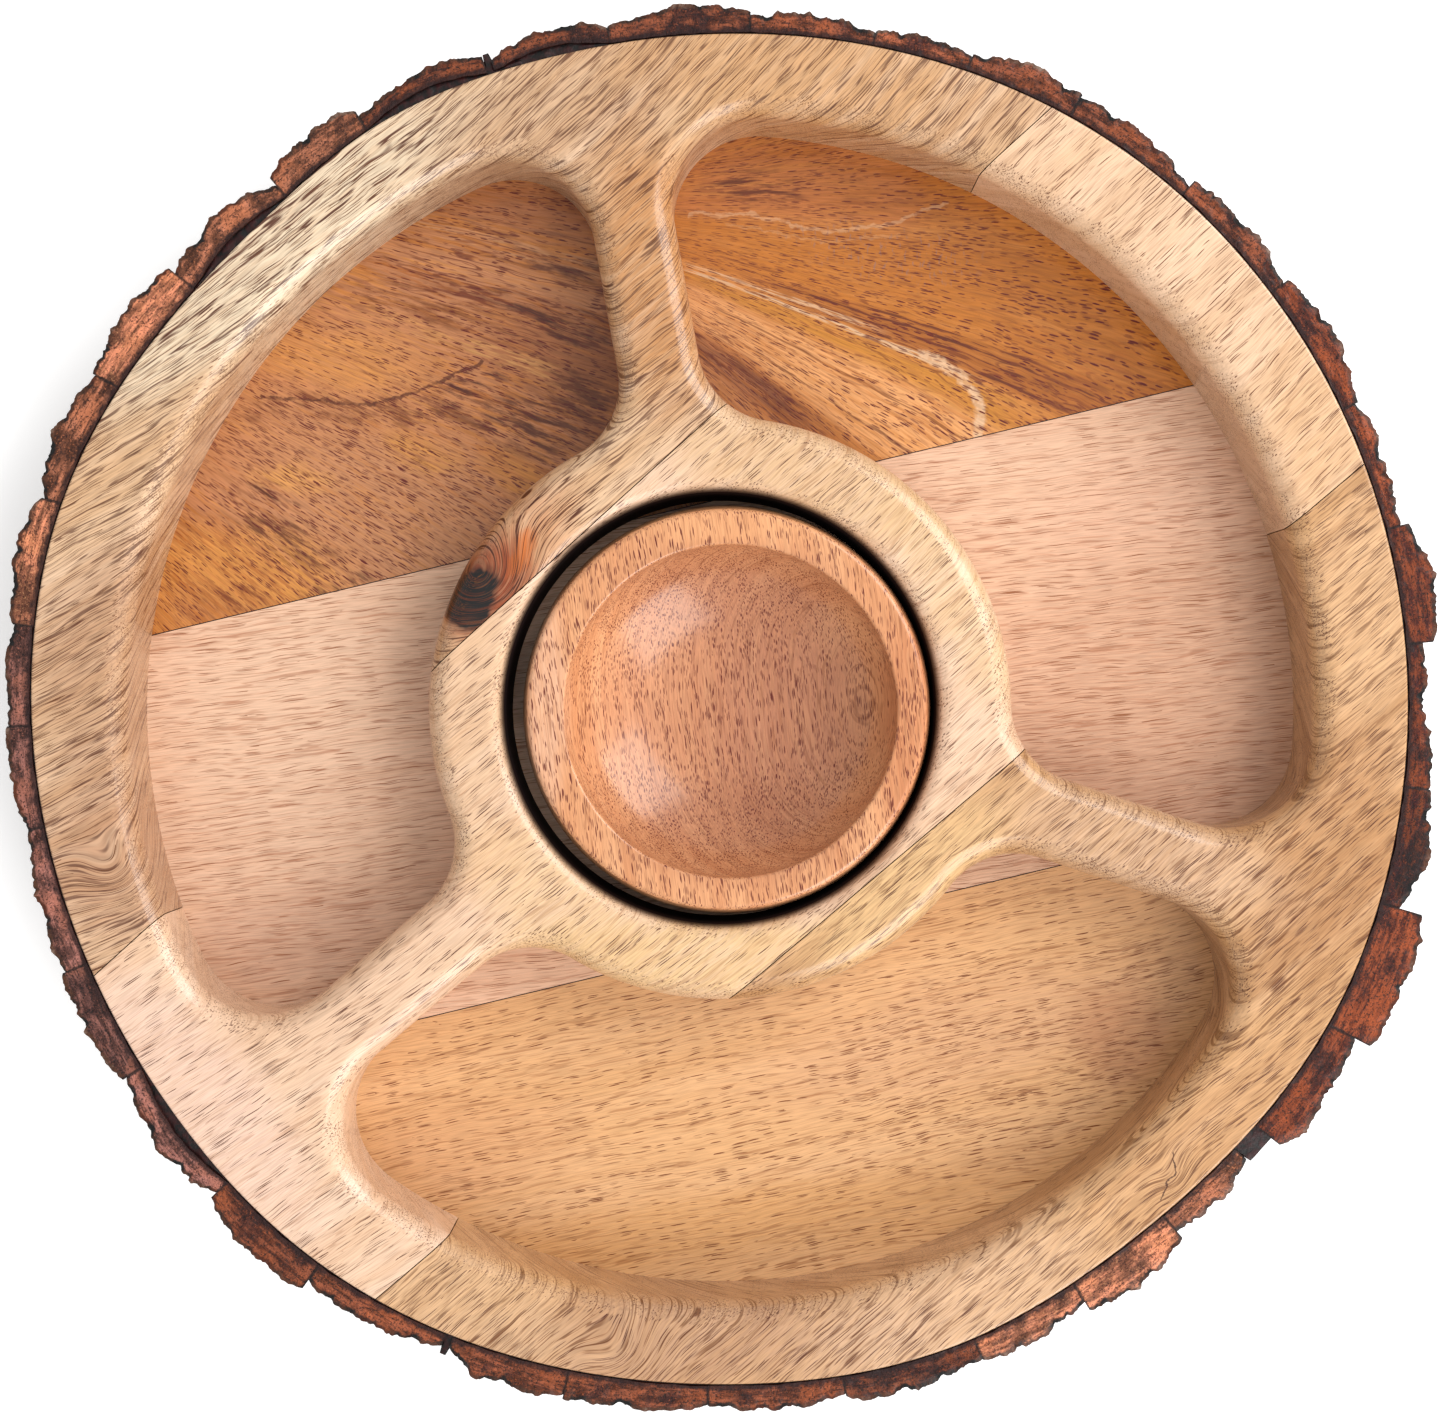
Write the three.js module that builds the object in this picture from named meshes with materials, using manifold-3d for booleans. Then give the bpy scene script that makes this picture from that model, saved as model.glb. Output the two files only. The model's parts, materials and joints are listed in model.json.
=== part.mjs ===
// Chip and dip server: a round serving tray with three compartments and a loose dip bowl.
//
// A three-plank base carries a thicker frame of edge-glued boards. The frame is cut through to
// the base by three compartments and by a round recess in its hub. Short sticks with their bark
// on stand side by side round the tray's edge. The turned bowl rests in the recess.
//
// Millimetres, +Z up. The origin is the middle of the tray's underside.

import * as THREE from 'three';
import { mergeVertices } from 'three/addons/utils/BufferGeometryUtils.js';
import Module from 'manifold-3d';

// ---- Driving dimensions ----

// Tray
const BASE_THICKNESS = 12;
const FRAME_THICKNESS = 26;
const TOP = BASE_THICKNESS + FRAME_THICKNESS;
const GLUE_GAP = 0.3;

// Edge of the wooden disc: a circle, slightly out of round. These are the directions where it
// is furthest out or in, and it swells and shrinks smoothly between them.
const DISC_EDGE = [
  { direction: 44, radius: 170.5 },
  { direction: 102, radius: 166.3 },
  { direction: 119, radius: 167.3 },
  { direction: 134, radius: 165.3 },
  { direction: 168, radius: 170.8 },
  { direction: 213, radius: 168.2 },
  { direction: 235, radius: 169.4 },
  { direction: 269, radius: 167.3 },
  { direction: 288, radius: 168.2 },
  { direction: 308, radius: 166.4 },
  { direction: 340, radius: 170 },
];

// Compartments: three alike, each between two spokes.
const SPOKE_DIRECTIONS = [100.2, 220.4, 341.6];
const SPOKE_HALF_WIDTH = 10.3;
const OUTER_WALL_RADIUS = 147.4;
const HUB_WALL_RADIUS = 72.6;
const OUTER_CORNER_RADIUS = 21.5;
const HUB_CORNER_RADIUS = 20;
const EDGE_ROUNDING = 6;

// Recess for the bowl
const RECESS_RADIUS = 53.3;
const RECESS_EDGE_ROUNDING = 4.5;

// Glue seams: a straight line at an angle to +X, at a distance to the left of the origin.
const FRAME_SEAM_LEFT = { angle: 42.2, left: 54.9 };
const FRAME_SEAM_RIGHT = { angle: 40.2, left: -56.7 };
const FRAME_OFFCUT_DISTANCE = 110;
const BASE_SEAM_REAR = { angle: 13.5, left: 52.3 };
const BASE_SEAM_FRONT = { angle: 13.5, left: -59.8 };

// Bowl
const BOWL_CENTRE = { x: 1.7, y: -0.35 };
const BOWL_HEIGHT = 28;
const BOWL_FOOT_RADIUS = 33;
const BOWL_BELLY_RADIUS = 51;
const BOWL_BELLY_HEIGHT = 18;
const BOWL_RIM_RADIUS = 49.6;
const BOWL_RIM_ROUNDING = 1.6;
const BOWL_MOUTH_RADIUS = 41;
const BOWL_MOUTH_SHIFT = { x: 0.9, y: -0.45 };
const BOWL_CAVITY_DEPTH = 21;
const BOWL_CAVITY_FLAT = 8;

// Bark strips: the directions of their two ends, and how far the bark reaches from the tray's
// middle at even steps from one end to the other. A hollow back leaves a space behind the strip.
const BARK_HOLLOW = 2.2;
const BARK_STRIPS = [
  { from: 353.6, to: 365.2, reach: [177.4, 177.2, 174.6, 175.4, 175.0] },
  { from: 5.4, to: 14.9, reach: [178.0, 179.4, 180.2, 178.6, 177.2] },
  { from: 15.1, to: 25.5, reach: [174.8, 175.6, 175.3, 176.4, 174.8] },
  { from: 25.7, to: 36.9, reach: [176.0, 176.6, 178.7, 178.4, 176.4] },
  { from: 37.1, to: 47.9, reach: [175.0, 176.6, 176.9, 176.8, 176.0] },
  { from: 48.1, to: 59.3, reach: [174.4, 176.2, 177.0, 176.7, 176.6] },
  { from: 59.5, to: 68.7, reach: [176.9, 176.2, 176.4, 175.2, 174.0] },
  { from: 68.9, to: 76.9, reach: [173.4, 174.0, 174.0, 173.3, 172.0] },
  { from: 77.1, to: 87.4, reach: [171.6, 173.3, 173.2, 172.6, 172.2] },
  { from: 87.6, to: 99.2, reach: [173.0, 174.3, 174.3, 172.9, 171.2] },
  { from: 99.6, to: 109.5, reach: [170.8, 173.9, 173.9, 172.6, 170.6], hollow: true },
  { from: 110.1, to: 121.3, reach: [172.4, 174.2, 174.6, 173.2, 171.8], hollow: true },
  { from: 121.6, to: 130.1, reach: [173.4, 174.8, 175.0, 174.4, 172.8] },
  { from: 130.6, to: 141.3, reach: [170.2, 173.6, 175.0, 174.2, 173.2], hollow: true },
  { from: 141.6, to: 151.8, reach: [175.4, 176.5, 177.2, 176.9, 176.8] },
  { from: 152.1, to: 162.6, reach: [175.8, 177.2, 178.6, 178.8, 175.6] },
  { from: 163.0, to: 173.1, reach: [176.2, 178.8, 179.0, 178.3, 176.8] },
  { from: 173.4, to: 181.4, reach: [176.6, 177.6, 177.0, 176.6, 176.8] },
  { from: 181.6, to: 189.8, reach: [176.9, 177.0, 176.2, 176.2, 174.4] },
  { from: 190.2, to: 201.8, reach: [174.5, 175.0, 175.7, 175.7, 175.3] },
  { from: 202.2, to: 211.7, reach: [176.3, 176.4, 176.2, 175.4, 174.6] },
  { from: 212.1, to: 223.7, reach: [173.6, 176.0, 177.1, 176.6, 173.6], hollow: true },
  { from: 224.1, to: 234.0, reach: [175.6, 178.0, 178.3, 178.4, 177.8] },
  { from: 234.5, to: 246.4, reach: [175.2, 176.2, 176.0, 175.0, 172.6] },
  { from: 247.0, to: 257.0, reach: [172.4, 177.4, 175.8, 176.6, 174.8] },
  { from: 257.3, to: 268.8, reach: [176.2, 174.8, 175.2, 174.3, 173.2] },
  { from: 269.2, to: 280.2, reach: [173.4, 173.9, 175.0, 174.4, 172.8] },
  { from: 280.6, to: 291.8, reach: [173.8, 175.6, 176.1, 175.6, 174.3] },
  { from: 292.1, to: 301.3, reach: [174.4, 174.9, 175.1, 174.5, 173.2] },
  { from: 301.8, to: 310.9, reach: [175.8, 176.4, 176.4, 176.1, 174.8] },
  { from: 311.3, to: 319.4, reach: [172.6, 173.0, 173.3, 173.2, 172.2] },
  { from: 322.0, to: 332.3, reach: [176.6, 178.8, 178.4, 178.9, 178.0] },
  { from: 332.7, to: 343.3, reach: [182.3, 182.8, 182.6, 183.1, 182.4] },
  { from: 343.8, to: 353.2, reach: [176.2, 178.8, 179.4, 178.6, 177.8] },
];

// Fineness of round stretches, in segments
const DISC_SEGMENTS = 120;
const ARC_SEGMENTS = 12;
const ROUNDING_SEGMENTS = 3;
const RECESS_SEGMENTS = 60;
const BOWL_SEGMENTS = 48;
const BARK_STEPS_ACROSS = 6;
const BARK_STEPS_UP = 3;

// Longer than the tray is across: the size of the boxes that saw it into boards.
const SAW_LENGTH = 400;

// ---- Small tools ----

const wasm = await Module();
wasm.setup();

const radians = THREE.MathUtils.degToRad;

function polar(radius, angle) {
  return new THREE.Vector2(radius * Math.cos(angle), radius * Math.sin(angle));
}

// Six times the volume that a closed mesh encloses: negative where its faces point inwards.
function signedVolume(position, index) {
  const [a, b, c] = [new THREE.Vector3(), new THREE.Vector3(), new THREE.Vector3()];
  let sum = 0;
  for (let i = 0; i < index.length; i += 3) {
    a.fromBufferAttribute(position, index[i]);
    b.fromBufferAttribute(position, index[i + 1]);
    c.fromBufferAttribute(position, index[i + 2]);
    sum += a.dot(b.cross(c));
  }
  return sum;
}

// A closed geometry as a solid: shared vertices merged, empty triangles dropped, faces outwards.
function solid(geometry) {
  geometry.deleteAttribute('normal');
  geometry.deleteAttribute('uv');
  const merged = mergeVertices(geometry);
  const triangles = [];
  const index = merged.index.array;
  for (let i = 0; i < index.length; i += 3) {
    const [a, b, c] = [index[i], index[i + 1], index[i + 2]];
    if (a !== b && b !== c && c !== a) triangles.push(a, b, c);
  }
  if (signedVolume(merged.attributes.position, triangles) < 0) triangles.reverse();
  return new wasm.Manifold(new wasm.Mesh({
    numProp: 3,
    vertProperties: merged.attributes.position.array,
    triVerts: Uint32Array.from(triangles),
  }));
}

function geometryOf(manifold) {
  const mesh = manifold.getMesh();
  const geometry = new THREE.BufferGeometry();
  geometry.setAttribute('position', new THREE.BufferAttribute(mesh.vertProperties, 3));
  geometry.setIndex(new THREE.BufferAttribute(mesh.triVerts, 1));
  geometry.computeVertexNormals();
  return geometry;
}

function node(name, manifold, color, roughness) {
  const material = new THREE.MeshStandardMaterial({ color, roughness, metalness: 0 });
  const mesh = new THREE.Mesh(geometryOf(manifold), material);
  mesh.name = name;
  return mesh;
}

// A plan outline raised from one height to another.
function prism(points, low, high) {
  const geometry = new THREE.ExtrudeGeometry(new THREE.Shape(points), {
    depth: high - low,
    bevelEnabled: false,
  });
  return solid(geometry.translate(0, 0, low));
}

// A profile of [radius, height] points turned about a vertical axis through (x, y).
function turned(profile, segments, x = 0, y = 0) {
  const points = profile.map(([radius, height]) => new THREE.Vector2(radius, height));
  const geometry = new THREE.LatheGeometry(points, segments);
  return solid(geometry.rotateX(Math.PI / 2).translate(x, y, 0));
}

// Points of an arc as [x, y] pairs, from one angle to another, both ends included.
function arc(cx, cy, radius, from, to, segments) {
  const points = [];
  for (let i = 0; i <= segments; i += 1) {
    const angle = from + (to - from) * i / segments;
    points.push([cx + radius * Math.cos(angle), cy + radius * Math.sin(angle)]);
  }
  return points;
}

// ---- Tray outline and cutters ----

function discRadius(angle) {
  const turn = (from, to) => THREE.MathUtils.euclideanModulo(to - from, 360);
  const direction = turn(0, THREE.MathUtils.radToDeg(angle));
  const beyond = DISC_EDGE.findIndex((point) => point.direction > direction);
  const next = Math.max(beyond, 0);
  const [start, end] = [DISC_EDGE.at(next - 1), DISC_EDGE[next]];
  const way = turn(start.direction, direction) / turn(start.direction, end.direction);
  return THREE.MathUtils.lerp(start.radius, end.radius, (1 - Math.cos(Math.PI * way)) / 2);
}

function discOutline() {
  const points = [];
  for (let i = 0; i < DISC_SEGMENTS; i += 1) {
    const angle = 2 * Math.PI * i / DISC_SEGMENTS;
    points.push(polar(discRadius(angle), angle));
  }
  return points;
}

// A compartment's wall, seen from above, between spokes half an angle to each side of +X.
// Two pairs of corner arcs join the outer wall, the spokes' straight sides and the hub's wall.
function compartmentOutline(halfAngle) {
  const outerCentre = OUTER_WALL_RADIUS - OUTER_CORNER_RADIUS;
  const hubCentre = HUB_WALL_RADIUS + HUB_CORNER_RADIUS;
  const outerTurn = halfAngle - Math.asin((SPOKE_HALF_WIDTH + OUTER_CORNER_RADIUS) / outerCentre);
  const hubTurn = halfAngle - Math.asin((SPOKE_HALF_WIDTH + HUB_CORNER_RADIUS) / hubCentre);
  const side = halfAngle + Math.PI / 2;
  const outer = polar(outerCentre, outerTurn);
  const hub = polar(hubCentre, hubTurn);
  const corner = (centre, up, radius, from, to) =>
    arc(centre.x, up * centre.y, radius, from, to, ARC_SEGMENTS);
  const points = [
    ...arc(0, 0, OUTER_WALL_RADIUS, -outerTurn, outerTurn, 2 * ARC_SEGMENTS),
    ...corner(outer, 1, OUTER_CORNER_RADIUS, outerTurn, side).slice(1),
    ...corner(hub, 1, HUB_CORNER_RADIUS, side, hubTurn + Math.PI),
    ...arc(0, 0, HUB_WALL_RADIUS, hubTurn, -hubTurn, ARC_SEGMENTS).slice(1),
    ...corner(hub, -1, HUB_CORNER_RADIUS, Math.PI - hubTurn, 2 * Math.PI - side).slice(1),
    ...corner(outer, -1, OUTER_CORNER_RADIUS, -side, -outerTurn).slice(0, -1),
  ];
  return points.map(([x, y]) => new THREE.Vector2(x, y));
}

// The space of one compartment. Its sides flare out at the top in a quarter circle, which
// leaves the frame's top edge rounded. They flare at the bottom too, below the frame.
function compartmentCutter(fromSpoke, toSpoke) {
  const low = BASE_THICKNESS - EDGE_ROUNDING / 2;
  const high = TOP - EDGE_ROUNDING;
  const halfAngle = radians(toSpoke - fromSpoke) / 2;
  const geometry = new THREE.ExtrudeGeometry(new THREE.Shape(compartmentOutline(halfAngle)), {
    depth: high - low,
    bevelEnabled: true,
    bevelThickness: EDGE_ROUNDING,
    bevelSize: -EDGE_ROUNDING,
    bevelOffset: EDGE_ROUNDING,
    bevelSegments: ROUNDING_SEGMENTS,
  });
  geometry.translate(0, 0, low);
  return solid(geometry.rotateZ(radians(fromSpoke) + halfAngle));
}

function recessCutter() {
  const rounding = arc(
    RECESS_RADIUS + RECESS_EDGE_ROUNDING, TOP - RECESS_EDGE_ROUNDING, RECESS_EDGE_ROUNDING,
    Math.PI, Math.PI / 2, ROUNDING_SEGMENTS,
  );
  return turned(
    [[0, BASE_THICKNESS / 2], [RECESS_RADIUS, BASE_THICKNESS / 2], ...rounding, [0, TOP]],
    RECESS_SEGMENTS,
  );
}

// ---- Sawing into boards ----

// A box that fills everything on one side of a seam, kept back from it by half the glue gap,
// or reaching over it by as much where it takes the neighbour away.
function sideOf(seam, sign, overlap) {
  const edge = seam.left + sign * (overlap ? -GLUE_GAP / 2 : GLUE_GAP / 2);
  const geometry = new THREE.BoxGeometry(SAW_LENGTH, SAW_LENGTH, SAW_LENGTH);
  geometry.translate(0, edge + sign * SAW_LENGTH / 2, 0);
  return solid(geometry.rotateZ(radians(seam.angle)));
}

// Three boards from one panel: beyond the left seam, between the seams, beyond the right seam.
function sawn(panel, leftSeam, rightSeam) {
  return [
    panel.intersect(sideOf(leftSeam, 1, false)),
    panel.subtract(sideOf(leftSeam, 1, true)).subtract(sideOf(rightSeam, -1, true)),
    panel.intersect(sideOf(rightSeam, -1, false)),
  ];
}

// ---- Pieces ----

function basePlanks() {
  const panel = prism(discOutline(), 0, BASE_THICKNESS);
  const [rear, middle, front] = sawn(panel, BASE_SEAM_REAR, BASE_SEAM_FRONT);
  return [
    node('base_plank_rear', rear, 0xb8733f, 0.45),
    node('base_plank_middle', middle, 0xe6b795, 0.45),
    node('base_plank_front', front, 0xe4ae7c, 0.45),
  ];
}

function frameBoards() {
  let panel = prism(discOutline(), BASE_THICKNESS, TOP).subtract(recessCutter());
  SPOKE_DIRECTIONS.forEach((direction, i) => {
    const next = SPOKE_DIRECTIONS[i + 1] ?? SPOKE_DIRECTIONS[0] + 360;
    panel = panel.subtract(compartmentCutter(direction, next));
  });
  const [left, middle, right] = sawn(panel, FRAME_SEAM_LEFT, FRAME_SEAM_RIGHT);
  // A compartment parts the middle board in two. This line across it runs through that space.
  const across = { angle: (FRAME_SEAM_LEFT.angle + FRAME_SEAM_RIGHT.angle) / 2 - 90,
    left: FRAME_OFFCUT_DISTANCE };
  return [
    node('frame_board_left', left, 0xdcae84, 0.42),
    node('frame_board_middle', middle.intersect(sideOf(across, -1, false)), 0xf0c8a6, 0.42),
    node('frame_board_middle_offcut', middle.intersect(sideOf(across, 1, false)), 0xf2cda8, 0.42),
    node('frame_board_right', right, 0xe0b584, 0.42),
  ];
}

function dipBowl() {
  const { x, y } = BOWL_CENTRE;
  const rest = BASE_THICKNESS;
  const rim = rest + BOWL_HEIGHT;
  // Outside: foot, belly as a quarter ellipse, then a straight draft in to the rounded rim.
  const outside = [[0, rest], [BOWL_FOOT_RADIUS, rest]];
  for (let i = 1; i <= 8; i += 1) {
    const turn = Math.PI / 2 * i / 8;
    outside.push([
      BOWL_FOOT_RADIUS + (BOWL_BELLY_RADIUS - BOWL_FOOT_RADIUS) * Math.sin(turn),
      rest + BOWL_BELLY_HEIGHT * (1 - Math.cos(turn)),
    ]);
  }
  const edge = arc(BOWL_RIM_RADIUS - BOWL_RIM_ROUNDING, rim - BOWL_RIM_ROUNDING,
    BOWL_RIM_ROUNDING, 0, Math.PI / 2, ROUNDING_SEGMENTS);
  const body = turned([...outside, ...edge, [0, rim]], BOWL_SEGMENTS, x, y);
  // Inside: a dish, from a small flat in the middle along a quarter ellipse up to the mouth.
  const floor = rim - BOWL_CAVITY_DEPTH;
  const inside = [[0, floor], [BOWL_CAVITY_FLAT, floor]];
  for (let i = 1; i <= 10; i += 1) {
    const turn = Math.PI / 2 * i / 10;
    inside.push([
      BOWL_CAVITY_FLAT + (BOWL_MOUTH_RADIUS - BOWL_CAVITY_FLAT) * Math.sin(turn),
      rim - BOWL_CAVITY_DEPTH * Math.cos(turn),
    ]);
  }
  inside.push([BOWL_MOUTH_RADIUS, rim + 1], [0, rim + 1]);
  const cavity = turned(inside, BOWL_SEGMENTS, x + BOWL_MOUTH_SHIFT.x, y + BOWL_MOUTH_SHIFT.y);
  return node('dip_bowl', body.subtract(cavity), 0xdf9f6f, 0.38);
}

// Where a list of evenly spaced values stands at a fraction from 0 to 1 of its length.
function along(values, fraction) {
  const place = fraction * (values.length - 1);
  const low = Math.min(Math.floor(place), values.length - 2);
  return values[low] + (values[low + 1] - values[low]) * (place - low);
}

// One strip: its back follows the disc's edge, its face is lumpy and varies with height.
// The extrusion's points are numbered by layer, so each is moved by where it stands.
function barkStrip(strip, number) {
  const back = [];
  const face = [];
  for (let i = 0; i <= BARK_STEPS_ACROSS; i += 1) {
    const fraction = i / BARK_STEPS_ACROSS;
    const angle = radians(strip.from + (strip.to - strip.from) * fraction);
    const bow = strip.hollow ? BARK_HOLLOW * Math.sin(Math.PI * fraction) : 0;
    back.push(polar(discRadius(angle) + GLUE_GAP + bow, angle));
    face.push(polar(along(strip.reach, fraction), angle));
  }
  const geometry = new THREE.ExtrudeGeometry(new THREE.Shape([...face, ...back.reverse()]), {
    depth: TOP,
    steps: BARK_STEPS_UP,
    bevelEnabled: false,
  });
  const faceAngle = radians((strip.from + strip.to) / 2);
  const position = geometry.attributes.position;
  for (let i = 0; i < position.count; i += 1) {
    const point = new THREE.Vector2(position.getX(i), position.getY(i));
    const beyond = point.length() - discRadius(point.angle());
    const drop = TOP - position.getZ(i);
    if (beyond > BARK_HOLLOW + 1 && drop > 0) {
      const lump = 0.09 * Math.sin(drop / 5 + number * 2.4 + 9 * (point.angle() - faceAngle));
      point.multiplyScalar(1 + beyond * lump / point.length());
      position.setXY(i, point.x, point.y);
    }
  }
  const name = `bark_strip_${String(number).padStart(2, '0')}`;
  return node(name, solid(geometry), number % 3 ? 0x6b3f2a : 0x8a4a2a, 0.9);
}

// ---- Assembly ----

const server = new THREE.Group();
server.add(...basePlanks(), ...frameBoards(), dipBowl());
BARK_STRIPS.forEach((strip, i) => server.add(barkStrip(strip, i + 1)));

export default server;
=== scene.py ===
"""The chip and dip server's looks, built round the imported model. Lengths in the tables below
are in millimetres and angles in degrees; Blender's own units are metres."""

import json
import math

import bmesh
import bpy
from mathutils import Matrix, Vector, noise


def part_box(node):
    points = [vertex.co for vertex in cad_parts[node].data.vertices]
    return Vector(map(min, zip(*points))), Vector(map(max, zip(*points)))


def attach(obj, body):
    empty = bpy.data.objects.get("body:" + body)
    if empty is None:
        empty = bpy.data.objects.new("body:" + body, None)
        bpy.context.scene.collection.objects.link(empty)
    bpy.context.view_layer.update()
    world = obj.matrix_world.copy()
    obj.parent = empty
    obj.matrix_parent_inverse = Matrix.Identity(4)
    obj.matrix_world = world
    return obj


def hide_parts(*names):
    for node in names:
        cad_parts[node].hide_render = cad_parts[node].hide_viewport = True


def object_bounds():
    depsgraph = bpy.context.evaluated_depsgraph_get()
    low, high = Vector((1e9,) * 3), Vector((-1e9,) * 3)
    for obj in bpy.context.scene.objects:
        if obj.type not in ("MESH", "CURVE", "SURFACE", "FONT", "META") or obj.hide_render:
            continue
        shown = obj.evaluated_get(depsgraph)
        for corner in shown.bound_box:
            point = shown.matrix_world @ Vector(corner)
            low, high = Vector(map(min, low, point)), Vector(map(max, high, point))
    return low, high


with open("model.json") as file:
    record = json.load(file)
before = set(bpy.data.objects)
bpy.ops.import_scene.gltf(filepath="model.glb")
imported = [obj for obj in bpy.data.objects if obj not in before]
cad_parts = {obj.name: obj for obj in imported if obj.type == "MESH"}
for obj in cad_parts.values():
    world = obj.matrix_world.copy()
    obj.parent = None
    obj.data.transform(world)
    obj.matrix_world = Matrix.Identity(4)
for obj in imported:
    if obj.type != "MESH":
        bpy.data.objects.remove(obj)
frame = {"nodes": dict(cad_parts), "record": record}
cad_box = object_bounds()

MM = 0.001

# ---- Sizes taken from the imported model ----


def node_box(name):
    """A node's lowest and highest corner in millimetres."""
    low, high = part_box(name)
    return Vector(low) / MM, Vector(high) / MM


BASE_TOP = node_box("base_plank_middle")[1].z
TOP = node_box("frame_board_left")[1].z
BOWL_LOW, BOWL_HIGH = node_box("dip_bowl")
BOWL_X = (BOWL_LOW.x + BOWL_HIGH.x) / 2
BOWL_Y = (BOWL_LOW.y + BOWL_HIGH.y) / 2
BELLY_RADIUS = (BOWL_HIGH.x - BOWL_LOW.x) / 2
STRIP_NAMES = sorted(n for n in frame["nodes"] if n.startswith("bark_strip_"))

# ---- The design's own sizes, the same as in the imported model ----

# The disc's edge is furthest out or in at these (direction, radius) points, and swells and
# shrinks smoothly between them. DISC_RADIUS is its usual radius, for lengths along the edge.
DISC_EDGE = [
    (44, 170.5), (102, 166.3), (119, 167.3), (134, 165.3), (168, 170.8), (213, 168.2),
    (235, 169.4), (269, 167.3), (288, 168.2), (308, 166.4), (340, 170.0),
]
DISC_RADIUS = 168.5
SPOKES = [100.2, 220.4, 341.6]
SPOKE_HALF_WIDTH = 10.3
OUTER_WALL, HUB_WALL = 147.4, 72.6
OUTER_CORNER, HUB_CORNER = 21.5, 20.0
EDGE_ROUNDING = 6.0
RECESS_RADIUS, RECESS_ROUNDING = 53.3, 4.5
SEAM_LEFT, SEAM_RIGHT = (42.2, 54.9), (40.2, -56.7)
OFFCUT_DISTANCE = 110.0
SEAM_REAR, SEAM_FRONT = (13.5, 52.3), (13.5, -59.8)
BOWL_FOOT_RADIUS = 33.0
BOWL_BELLY_HEIGHT = 18.0
BOWL_RIM_RADIUS, BOWL_RIM_ROUNDING = 49.6, 1.6
BOWL_MOUTH_RADIUS, BOWL_MOUTH_ROUNDING = 41.0, 0.9
BOWL_MOUTH_SHIFT = (0.9, -0.45)
BOWL_DEPTH = 21.0
BOWL_FLAT = 8.0

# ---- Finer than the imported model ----

GLUE_LINE = 0.26
DISC_POINTS = 720
TOP_EDGE_ROUNDING = 0.5
UNDER_EDGE_ROUNDING = 1.5
SUPPORT = 0.4


# ---- Mesh tools ----


def polar(radius, angle):
    return radius * math.cos(angle), radius * math.sin(angle)


def add_ring(bm, points, z):
    return [bm.verts.new((x * MM, y * MM, z * MM)) for x, y in points]


def bridge(bm, lower, upper):
    """Quads between two rings of as many points."""
    for i in range(len(lower)):
        j = (i + 1) % len(lower)
        bm.faces.new((lower[i], lower[j], upper[j], upper[i]))


def loft(bm, rings):
    for lower, upper in zip(rings, rings[1:]):
        bridge(bm, lower, upper)


def loop_edges(bm, ring):
    found = []
    for i, vert in enumerate(ring):
        other = ring[(i + 1) % len(ring)]
        edge = bm.edges.get((vert, other)) or bm.edges.new((vert, other))
        found.append(edge)
    return found


def fill(bm, rings):
    """A flat face bounded by the rings: the outline and the holes in it."""
    edges = [edge for ring in rings for edge in loop_edges(bm, ring)]
    bmesh.ops.triangle_fill(bm, edges=edges, use_beauty=True)


def finish_mesh(bm, name, material, sharp=32.0):
    """The bmesh as an object: faces outwards, smooth but for its sharp edges."""
    bmesh.ops.recalc_face_normals(bm, faces=bm.faces)
    for face in bm.faces:
        face.smooth = True
    limit = math.radians(sharp)
    for edge in bm.edges:
        if len(edge.link_faces) == 2 and edge.calc_face_angle() > limit:
            edge.smooth = False
    mesh = bpy.data.meshes.new(name)
    bm.to_mesh(mesh)
    bm.free()
    mesh.materials.append(material)
    piece = bpy.data.objects.new(name, mesh)
    bpy.context.collection.objects.link(piece)
    return piece


def keep_side(bm, seam, sign, gap):
    """Cuts the closed mesh along a seam and keeps the side to its left (1) or right (-1)."""
    angle, distance = math.radians(seam[0]), seam[1] + sign * gap / 2
    normal = Vector((-math.sin(angle), math.cos(angle), 0))
    bmesh.ops.bisect_plane(
        bm,
        geom=bm.verts[:] + bm.edges[:] + bm.faces[:],
        dist=1e-8,
        plane_co=normal * distance * MM,
        plane_no=normal * sign,
        clear_inner=True,
    )
    rim = [edge for edge in bm.edges if len(edge.link_faces) == 1]
    bmesh.ops.triangle_fill(bm, edges=rim, use_beauty=True)


def quarter(steps):
    """Fractions (sine, 1 - cosine) along a quarter circle."""
    turns = [math.pi / 2 * i / steps for i in range(steps + 1)]
    return [(math.sin(t), 1 - math.cos(t)) for t in turns]


# ---- Tray outlines ----


def disc_radius(angle):
    """How far the disc's edge is from the middle at an angle in radians."""
    direction = math.degrees(angle) % 360
    for (start, low), (end, high) in zip(DISC_EDGE, DISC_EDGE[1:] + DISC_EDGE[:1]):
        way = (direction - start) % 360 / ((end - start) % 360)
        if way <= 1:
            break
    return low + (high - low) * (1 - math.cos(math.pi * way)) / 2


def disc_ring(inset=0.0):
    turns = [2 * math.pi * i / DISC_POINTS for i in range(DISC_POINTS)]
    return [polar(disc_radius(t) - inset, t) for t in turns]


def circle(radius, points, x=0.0, y=0.0):
    ring = [polar(radius, 2 * math.pi * i / points) for i in range(points)]
    return [(x + px, y + py) for px, py in ring]


def arc(centre, radius, start, end, steps):
    turns = [start + (end - start) * i / steps for i in range(steps + 1)]
    return [(centre[0] + radius * math.cos(t), centre[1] + radius * math.sin(t)) for t in turns]


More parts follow.
